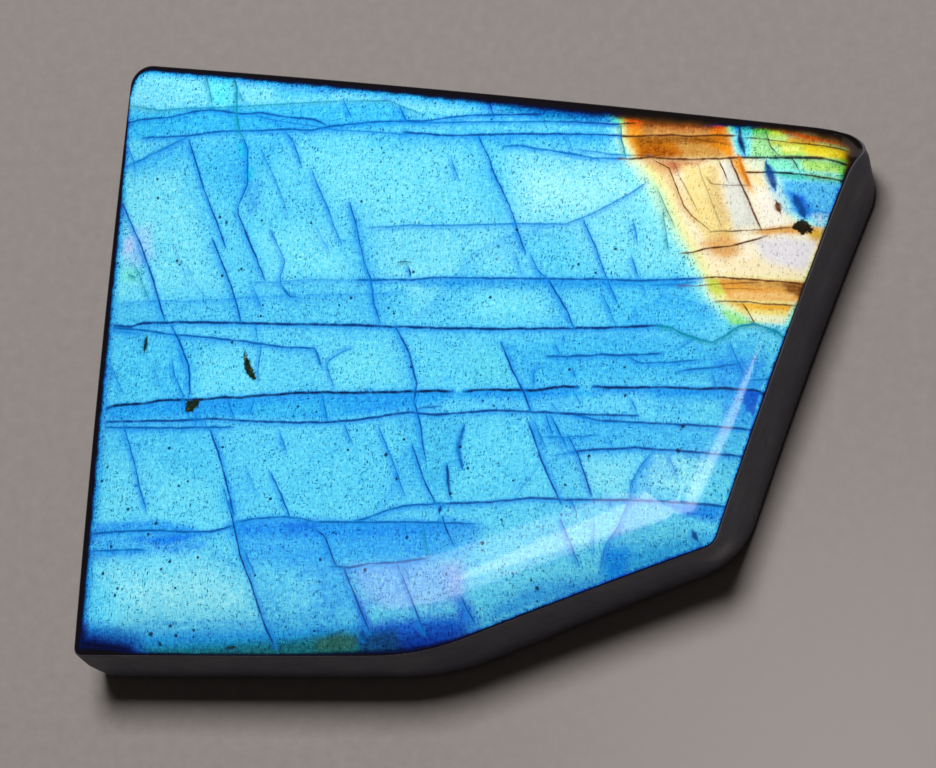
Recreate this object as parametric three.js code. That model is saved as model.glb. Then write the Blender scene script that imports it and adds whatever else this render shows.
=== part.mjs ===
// A polished labradorite freeform: one flat-backed slab of stone, cut to five sides, with a low domed face.
// Millimetres, +Z up. The flat back lies on z = 0 and the origin is the middle of the slab's box.
import * as THREE from "three";

// Where the straight sides would meet, seen from above and taken anticlockwise. Each corner is rounded
// by its own radius on the arris under the dome, on the belly of the wall and on the foot. The flare is
// how far the foot stands out beyond the arris there, the dip how much lower the arris lies, and the
// bulge how far the side that follows the corner swells outwards at its middle.
const CORNERS = [
  { at: [-18.75, 15.82], arris: 1.1, belly: 1.1, foot: 1.8, flare: 0.2, dip: 0, bulge: 0.14 }, // upper left
  { at: [-20.34, -15.12], arris: 0.38, belly: 0.3, foot: 0.75, flare: 0.28, dip: 0, bulge: 0.02 }, // lower left
  { at: [-1.75, -15.7], arris: 14, belly: 13, foot: 15, flare: 0.24, dip: 0, bulge: -0.05 }, // bottom
  { at: [13.62, -10.55], arris: 0.9, belly: 1.5, foot: 4.4, flare: 0, dip: 0, bulge: -0.15 }, // lower right
  { at: [20.7, 10.1], arris: 0.9, belly: 1.3, foot: 2.4, flare: 0.1, dip: 1.7, bulge: 0.17 }, // upper right
];

const WALL_HEIGHT = 4.6; // from the back to the arris
const DIP_REACH = 1.2; // how far from its corner a dip dies away
const BELLY_HEIGHT = 2.6;
const ARRIS_EASE = 0.16; // the worn edge between the dome and the wall
const FOOT_BEVEL = 0.4; // the ground-off edge between the wall and the back
const DOME_RISE = 1.5; // from the arris to the crown
const DOME_POWER = 5.5; // how late the dome turns down towards the arris
const DOME_SOFTENING = 5; // how much rounder the dome's level lines grow towards the crown

const ARC_STEPS = 8; // to each rounded corner
const SIDE_STEPS = 9; // along each side
const DOME_RINGS = [0.992, 0.975, 0.95, 0.91, 0.86, 0.8, 0.72, 0.62, 0.5, 0.36, 0.2];

const corners = CORNERS.map(({ at }) => new THREE.Vector2(...at));

// How far along its sides a corner's arc begins.
function tangentLength(radius, arriving, leaving) {
  return radius * Math.tan(Math.acos(arriving.dot(leaving)) / 2);
}

// Where the points of a side lie along it, 0 to 1: close together beside the corners.
const SIDE_PLACES = Array.from({ length: SIDE_STEPS - 1 }, (_, k) => {
  return (1 - Math.cos((Math.PI * (k + 1)) / SIDE_STEPS)) / 2;
});

// One corner's arc and the side that follows it, as points of a closed line.
function cornerAndSide(line, radii, i) {
  const count = line.length;
  const here = line[i];
  const after = line[(i + 1) % count];
  const arriving = here.clone().sub(line[(i + count - 1) % count]).normalize();
  const leaving = after.clone().sub(here).normalize();
  const next = line[(i + 2) % count].clone().sub(after).normalize();

  const inwards = new THREE.Vector2(-arriving.y, arriving.x);
  const arcStart = here.clone().addScaledVector(arriving, -tangentLength(radii[i], arriving, leaving));
  const centre = arcStart.clone().addScaledVector(inwards, radii[i]);
  const turn = Math.acos(arriving.dot(leaving));
  const points = [];
  for (let step = 0; step <= ARC_STEPS; step++) {
    points.push(arcStart.clone().rotateAround(centre, (turn * step) / ARC_STEPS));
  }

  const sideStart = points[ARC_STEPS];
  const nextRadius = radii[(i + 1) % count];
  const sideEnd = after.clone().addScaledVector(leaving, -tangentLength(nextRadius, leaving, next));
  const outwards = new THREE.Vector2(leaving.y, -leaving.x);
  for (const along of SIDE_PLACES) {
    const swell = CORNERS[i].bulge * 4 * along * (1 - along);
    points.push(sideStart.clone().lerp(sideEnd, along).addScaledVector(outwards, swell));
  }
  return points;
}

function closedLine(line, radii) {
  return line.flatMap((_, i) => cornerAndSide(line, radii, i));
}

// The flare at every point of a closed line: a corner's own through its arc, and a mix along a side.
const FLARES = CORNERS.flatMap(({ flare }, i) => {
  const next = CORNERS[(i + 1) % CORNERS.length].flare;
  const side = SIDE_PLACES.map((along) => THREE.MathUtils.lerp(flare, next, along));
  return [...new Array(ARC_STEPS + 1).fill(flare), ...side];
});

// Every point of a closed line moved outwards by its own distance, square to the line.
function grown(line, distances) {
  return line.map((point, i) => {
    const before = line[(i + line.length - 1) % line.length];
    const after = line[(i + 1) % line.length];
    const along = after.clone().sub(before).normalize();
    return point.clone().add(new THREE.Vector2(along.y, -along.x).multiplyScalar(distances[i]));
  });
}

// How much lower the arris lies near a point because of the dips at the corners.
function dipAt(point) {
  const fall = (corner, i) => CORNERS[i].dip * Math.exp(-((point.distanceTo(corner) / DIP_REACH) ** 2));
  return corners.reduce((sum, corner, i) => sum + fall(corner, i), 0);
}

// A level line of the wall: its corners are mixed between those of two named levels.
function wallLevel(height, from, to, share, inset = 0) {
  const radii = CORNERS.map((corner) => THREE.MathUtils.lerp(corner[from], corner[to], share));
  const climbed = (height / WALL_HEIGHT) ** 2;
  const line = grown(closedLine(corners, radii), FLARES.map((flare) => flare * (1 - climbed) - inset));
  return { line, heights: line.map((point) => height - dipAt(point) * climbed) };
}

// A level line of the dome: the outline drawn smaller, with rounder corners the nearer it is to the crown.
function domeLevel(reach) {
  const radii = CORNERS.map(({ arris }) => reach * (arris + DOME_SOFTENING * (1 - reach)));
  const smaller = corners.map((corner) => corner.clone().multiplyScalar(reach));
  const height = WALL_HEIGHT + DOME_RISE * (1 - reach ** DOME_POWER);
  const line = closedLine(smaller, radii);
  return { line, heights: line.map((point) => height - dipAt(point)) };
}

// Every level line from the back up to the crown.
function levels() {
  const bevelCut = FOOT_BEVEL * (1 - Math.SQRT1_2);
  return [
    wallLevel(0, "foot", "belly", 0, FOOT_BEVEL),
    wallLevel(bevelCut, "foot", "belly", 0, bevelCut),
    wallLevel(FOOT_BEVEL, "foot", "belly", 0.1),
    wallLevel(BELLY_HEIGHT * 0.6, "foot", "belly", 0.6),
    wallLevel(BELLY_HEIGHT, "foot", "belly", 1),
    wallLevel((BELLY_HEIGHT + WALL_HEIGHT) / 2, "belly", "arris", 0.5),
    wallLevel(WALL_HEIGHT - ARRIS_EASE, "belly", "arris", 1),
    ...DOME_RINGS.map(domeLevel),
  ];
}

// A closed skin through the level lines, with a fan round the middle of the back and one at the crown.
function skin(rings) {
  const positions = [0, 0, 0];
  for (const { line, heights } of rings) {
    line.forEach((point, i) => positions.push(point.x, point.y, heights[i]));
  }
  positions.push(0, 0, WALL_HEIGHT + DOME_RISE);

  const count = rings[0].line.length;
  const crown = 1 + rings.length * count;
  const triangles = [];
  for (let i = 0; i < count; i++) {
    const next = (i + 1) % count;
    triangles.push(0, 1 + next, 1 + i);
    for (let ring = 0; ring < rings.length - 1; ring++) {
      const low = 1 + ring * count;
      const high = low + count;
      triangles.push(low + i, low + next, high + next);
      triangles.push(low + i, high + next, high + i);
    }
    triangles.push(crown - count + i, crown - count + next, crown);
  }

  const geometry = new THREE.BufferGeometry();
  geometry.setAttribute("position", new THREE.Float32BufferAttribute(positions, 3));
  geometry.setIndex(triangles);
  return geometry;
}

// The slab, moved so that the middle of its box is over the origin.
function slab() {
  const geometry = skin(levels());
  geometry.computeBoundingBox();
  const middle = geometry.boundingBox.getCenter(new THREE.Vector3());
  geometry.translate(-middle.x, -middle.y, 0);
  geometry.computeVertexNormals();
  return geometry;
}

const polish = new THREE.MeshStandardMaterial({ color: 0x4fa8e8, roughness: 0.12, metalness: 0.25 });
const stone = new THREE.Mesh(slab(), polish);
stone.name = "polished_labradorite";

const object = new THREE.Group();
object.add(stone);

export default object;
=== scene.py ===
"""The looks of a polished labradorite slab: one stone with a blue flash that turns to gold in one corner."""
import math

import bpy
import numpy as np
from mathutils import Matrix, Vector


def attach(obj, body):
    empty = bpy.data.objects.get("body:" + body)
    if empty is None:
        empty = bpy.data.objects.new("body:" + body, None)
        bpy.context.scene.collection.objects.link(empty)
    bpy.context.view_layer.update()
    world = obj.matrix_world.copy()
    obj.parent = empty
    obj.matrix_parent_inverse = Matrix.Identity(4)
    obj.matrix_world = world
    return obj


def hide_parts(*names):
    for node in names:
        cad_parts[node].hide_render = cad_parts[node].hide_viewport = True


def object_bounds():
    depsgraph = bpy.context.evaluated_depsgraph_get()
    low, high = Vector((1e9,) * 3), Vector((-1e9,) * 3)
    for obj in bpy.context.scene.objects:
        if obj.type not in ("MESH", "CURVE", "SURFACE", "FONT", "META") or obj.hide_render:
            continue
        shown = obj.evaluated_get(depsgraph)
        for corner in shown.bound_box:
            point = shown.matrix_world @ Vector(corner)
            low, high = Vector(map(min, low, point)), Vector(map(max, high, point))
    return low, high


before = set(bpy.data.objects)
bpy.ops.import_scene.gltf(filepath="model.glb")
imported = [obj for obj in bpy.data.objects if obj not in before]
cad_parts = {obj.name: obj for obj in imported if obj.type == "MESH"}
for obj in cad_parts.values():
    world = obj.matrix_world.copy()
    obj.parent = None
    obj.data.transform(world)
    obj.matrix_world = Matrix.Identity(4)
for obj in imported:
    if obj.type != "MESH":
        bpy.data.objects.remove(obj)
cad_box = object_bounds()

MM = 0.001
STONE = "polished_labradorite"

# The outline and the section repeat those of the solid, in millimetres. The corners run anticlockwise. Each
# has its place, its radius at the arris, the belly and the foot, how far the foot stands out, how far the
# arris dips, and how far the side after it swells: below zero it is hollow.
CORNERS = [
    dict(at=(-18.75, 15.82), arris=1.1, belly=1.1, foot=1.8, flare=0.2, dip=0, bulge=0.14),
    dict(at=(-20.34, -15.12), arris=0.38, belly=0.3, foot=0.75, flare=0.28, dip=0, bulge=0.02),
    dict(at=(-1.75, -15.7), arris=14, belly=13, foot=15, flare=0.24, dip=0, bulge=-0.05),
    dict(at=(13.62, -10.55), arris=0.9, belly=1.5, foot=4.4, flare=0, dip=0, bulge=-0.15),
    dict(at=(20.7, 10.1), arris=0.9, belly=1.3, foot=2.4, flare=0.1, dip=1.7, bulge=0.17),
]
WALL_HEIGHT = 4.6
DIP_REACH = 1.2
BELLY_HEIGHT = 2.6
ARRIS_EASE = 0.16
FOOT_BEVEL = 0.4
DOME_RISE = 1.5
DOME_POWER = 5.5
DOME_SOFTENING = 5
DOME_EDGE = 0.992  # where the dome gives way to the worn arris

# The level lines of the wall: a height, and how far the corners have gone from the lower radius to the upper
UPPER_LINES = ((3.9, 0.65), (3.2, 0.3))
LOWER_LINES = ((BELLY_HEIGHT, 1), (BELLY_HEIGHT * 0.6, 0.6), (1.0, 0.35))
# The lines round the worn arris and the ground-off lower edge, in shares of a quarter turn
ARRIS_TURNS = (0.28, 0.58, 0.84)
FOOT_TURNS = (0, 0.35, 0.7, 1)
FOOT_OPENING = 0.1  # how far the corners have gone towards the belly's radius above the lower edge

# The face is a square net of cells bent to the outline.
HALF_NET = 140
SIDE = 2 * HALF_NET + 1
AROUND = 8 * HALF_NET
ARC_STEPS = 24
SIDE_STEPS = 60
NET_CORNERS = [3, 4, 0, 1]  # the outline's corners that the net's own corners lie on

corner_points = np.array([corner["at"] for corner in CORNERS], float)


def unit(vector):
    return vector / np.linalg.norm(vector)


def fade(value, start, end):
    """0 at start and 1 at end, with a smooth climb between."""
    share = np.clip((value - start) / (end - start), 0, 1)
    return share * share * (3 - 2 * share)


def level_line(points, radii, swell):
    """A closed line with rounded corners, always with the same number of points at each corner and side."""
    count = len(points)
    line = []
    for i in range(count):
        here, after = points[i], points[(i + 1) % count]
        arriving, leaving = unit(here - points[i - 1]), unit(after - here)
        following = unit(points[(i + 2) % count] - after)
        start = here - arriving * radii[i] * math.tan(math.acos(arriving @ leaving) / 2)
        centre = start + np.array([-arriving[1], arriving[0]]) * radii[i]
        turns = math.acos(arriving @ leaving) * np.arange(ARC_STEPS + 1) / ARC_STEPS
        arm = start - centre
        arc = np.stack([
            centre[0] + np.cos(turns) * arm[0] - np.sin(turns) * arm[1],
            centre[1] + np.sin(turns) * arm[0] + np.cos(turns) * arm[1],
        ], axis=1)
        end = after - leaving * (radii[(i + 1) % count] * math.tan(math.acos(leaving @ following) / 2))
        along = (np.arange(1, SIDE_STEPS) / SIDE_STEPS)[:, None]
        outwards = np.array([leaving[1], -leaving[0]])
        bow = outwards * CORNERS[i]["bulge"] * swell * 4 * along * (1 - along)
        line += [arc, arc[-1] + (end - arc[-1]) * along + bow]
    return np.vstack(line)


def grown(line, distances):
    """A closed line moved outwards, square to itself, by a distance of its own at each point."""
    along = np.roll(line, -1, axis=0) - np.roll(line, 1, axis=0)
    along /= np.linalg.norm(along, axis=1)[:, None]
    return line + np.stack([along[:, 1], -along[:, 0]], axis=1) * distances[:, None]


def flares_all_round():
    """How far the foot stands out at every point of a closed line."""
    flares = []
    for corner, following in zip(CORNERS, CORNERS[1:] + CORNERS[:1]):
        flares += [np.full(ARC_STEPS + 1, corner["flare"])]
        flares += [np.linspace(corner["flare"], following["flare"], SIDE_STEPS + 1)[1:-1]]
    return np.concatenate(flares)


FLARES = flares_all_round()


def dipped(line, height, share=1.0):
    """A level line in space, lowered by its share of the dips at the corners."""
    dip = np.zeros(len(line))
    for corner in CORNERS:
        away = np.hypot(line[:, 0] - corner["at"][0], line[:, 1] - corner["at"][1])
        dip += corner["dip"] * np.exp(-(away / DIP_REACH) ** 2)
    return np.c_[line, height - dip * share]


def wall_line(height, start, end, share, inset=0.0):
    """The line round the wall at a height, with its corners a share of the way between two radii."""
    radii = [corner[start] + (corner[end] - corner[start]) * share for corner in CORNERS]
    climbed = (height / WALL_HEIGHT) ** 2
    line = grown(level_line(corner_points, radii, 1), FLARES * (1 - climbed) - inset)
    return dipped(line, height, climbed)


def dome_height(reach):
    """How high the dome stands, at a share of the way from its middle to the arris."""
    return WALL_HEIGHT + DOME_RISE * (1 - reach ** DOME_POWER)


def dome_line(reach):
    """A line round the dome, at a share of the way from its middle to the arris."""
    radii = [reach * (corner["arris"] + DOME_SOFTENING * (1 - reach)) for corner in CORNERS]
    return dipped(level_line(corner_points * reach, radii, reach), dome_height(reach))


def marks_along(line):
    """How far along a closed line each of its points lies, and last the whole way round."""
    steps = np.linalg.norm(np.roll(line, -1, axis=0) - line, axis=1)
    return np.concatenate([[0], np.cumsum(steps)])


def even_places(marks, count):
    """Places at even steps along a closed line: so many from each corner of the net to the next."""
    stops = [marks[i * (ARC_STEPS + SIDE_STEPS) + ARC_STEPS // 2] for i in NET_CORNERS]
    share = np.arange(count) / count
    parts = [stops[k] + (stops[(k + 1) % 4] - stops[k]) % marks[-1] * share for k in range(4)]
    return np.concatenate(parts) % marks[-1]


def sampled(line, marks, places):
    """The points of a line in space at the given places along its marks."""
    closed = np.vstack([line, line[:1]])
    return np.stack([np.interp(places, marks, closed[:, axis]) for axis in (0, 1, 2)], axis=1)


# Places round the outline are measured along the arris, from the first corner's arc.
arris_line = dome_line(1)[:, :2]
MARKS = marks_along(arris_line)
PLACES = even_places(MARKS, 2 * HALF_NET)


def net_ring(ring):
    """The rows and columns of one square ring of the net, anticlockwise from its lower right corner."""
    step = np.arange(2 * ring)
    up, down, stay = step - ring, ring - step, 0 * step + ring
    rows = HALF_NET + np.concatenate([up, stay, down, -stay])
    columns = HALF_NET + np.concatenate([stay, down, -stay, up])
    return rows, columns


def face_net():
    """The points of the domed face, and the place round the outline that each belongs to."""
    points = np.zeros((SIDE, SIDE, 3))
    places = np.zeros((SIDE, SIDE))
    points[HALF_NET, HALF_NET] = (0, 0, WALL_HEIGHT + DOME_RISE)
    for ring in range(1, HALF_NET + 1):
        line = dome_line(DOME_EDGE * ring / HALF_NET)
        marks = marks_along(line)
        here = even_places(marks, 2 * ring)
        rows, columns = net_ring(ring)
        points[rows, columns] = sampled(line, marks, here)
        places[rows, columns] = np.interp(here, marks, MARKS)
    return points.reshape(-1, 3), places.ravel()


def rounded_over(share):
    """How far a rounded edge goes forwards, and how far aside, in a share of its quarter turn."""
    angle = share * math.pi / 2
    return math.sin(angle), 1 - math.cos(angle)


def wall_rings():
    """The level lines from below the dome's edge down to the flat back, as points all round, and each
    one's depth below the arris."""
    edge = dome_line(DOME_EDGE)
    edge_height = dome_height(DOME_EDGE)
    below = WALL_HEIGHT - ARRIS_EASE
    shoulder = wall_line(below, "belly", "arris", 1)
    rings = []
    for turn in ARRIS_TURNS:
        out, down = rounded_over(turn)
        height = edge_height + (below - edge_height) * down
        rings.append((height, edge + (shoulder - edge) * (out, out, down)))
    rings.append((below, shoulder))
    rings += [(height, wall_line(height, "belly", "arris", share)) for height, share in UPPER_LINES]
    rings += [(height, wall_line(height, "foot", "belly", share)) for height, share in LOWER_LINES]
    for turn in FOOT_TURNS:
        down, inset = rounded_over(turn)
        height = FOOT_BEVEL * (1 - down)
        opening = FOOT_OPENING * (1 - turn)
        rings.append((height, wall_line(height, "foot", "belly", opening, FOOT_BEVEL * inset)))
    return [sampled(line, MARKS, PLACES) for _, line in rings], [WALL_HEIGHT - height for height, _ in rings]


INSIDE = 0.9998  # a hair narrower than the solid, so that the net stays within it


def stone_points():
    """Every point of the stone, the face first, centred as the solid is, each one's place round the
    outline, and its depth below the arris: none on the face."""
    face, places = face_net()
    rings, depths = wall_rings()
    points = np.vstack([face] + rings)
    middle = (points.min(axis=0) + points.max(axis=0)) / 2
    cad_middle = (np.array(cad_box[0]) + np.array(cad_box[1])) / 2 / MM
    points[:, :2] = (points[:, :2] - middle[:2]) * INSIDE + cad_middle[:2]
    places = np.concatenate([places] + [PLACES] * len(rings))
    return points, places, np.concatenate([np.zeros(len(face)), np.repeat(depths, AROUND)])


def stone_faces(rings):
    """Four-sided faces of the net and the walls, and the flat back as one face."""
    rows, columns = np.meshgrid(np.arange(SIDE - 1), np.arange(SIDE - 1), indexing="ij")
    corner = (rows * SIDE + columns).ravel()
    net = np.stack([corner, corner + 1, corner + SIDE + 1, corner + SIDE], axis=1)
    rim_rows, rim_columns = net_ring(HALF_NET)
    loops = [rim_rows * SIDE + rim_columns]
    loops += [SIDE * SIDE + AROUND * k + np.arange(AROUND) for k in range(rings)]
    bands = []
    for upper, lower in zip(loops, loops[1:]):
        after = np.roll(upper, -1), np.roll(lower, -1)
        bands.append(np.stack([upper, lower, after[1], after[0]], axis=1))
    return net, np.vstack(bands), loops[-1][::-1]


def light(colour):
    """A colour as the eye reads it, 0 to 255, turned into light by the sRGB curve."""
    channels = np.array(colour) / 255
    return np.where(channels <= 0.04045, channels / 12.92, ((channels + 0.055) / 1.055) ** 2.4)


def paint(colour):
    """A colour as the shader's nodes take it."""
    return (*light(colour), 1)


FAR_AWAY = 1e9


def inside_distance(outline, x, y):
    """How far inside a closed outline each point lies, in millimetres: negative outside it."""
    nearest = np.full(x.shape, FAR_AWAY)
    within = np.zeros(x.shape, bool)
    for start, end in zip(outline, np.roll(outline, -1, axis=0)):
        run = end - start
        share = np.clip(((x - start[0]) * run[0] + (y - start[1]) * run[1]) / (run @ run), 0, 1)
        nearest = np.minimum(nearest, np.hypot(x - start[0] - share * run[0], y - start[1] - share * run[1]))
        if start[1] != end[1]:
            crossing = start[0] + (y - start[1]) * run[0] / run[1]
            within ^= ((start[1] > y) != (end[1] > y)) & (x < crossing)
    return np.where(within, nearest, -nearest)


def wash(colour, share, soft, *outline):
    """A soft patch of colour on the face: how much it covers, half the width of its soft edge, and its
    outline."""
    return dict(colour=colour, share=share, soft=soft, outline=np.array(outline, float))


FLASH = (96, 214, 247)
DEEP_FLASH = (20, 152, 242)

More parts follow.
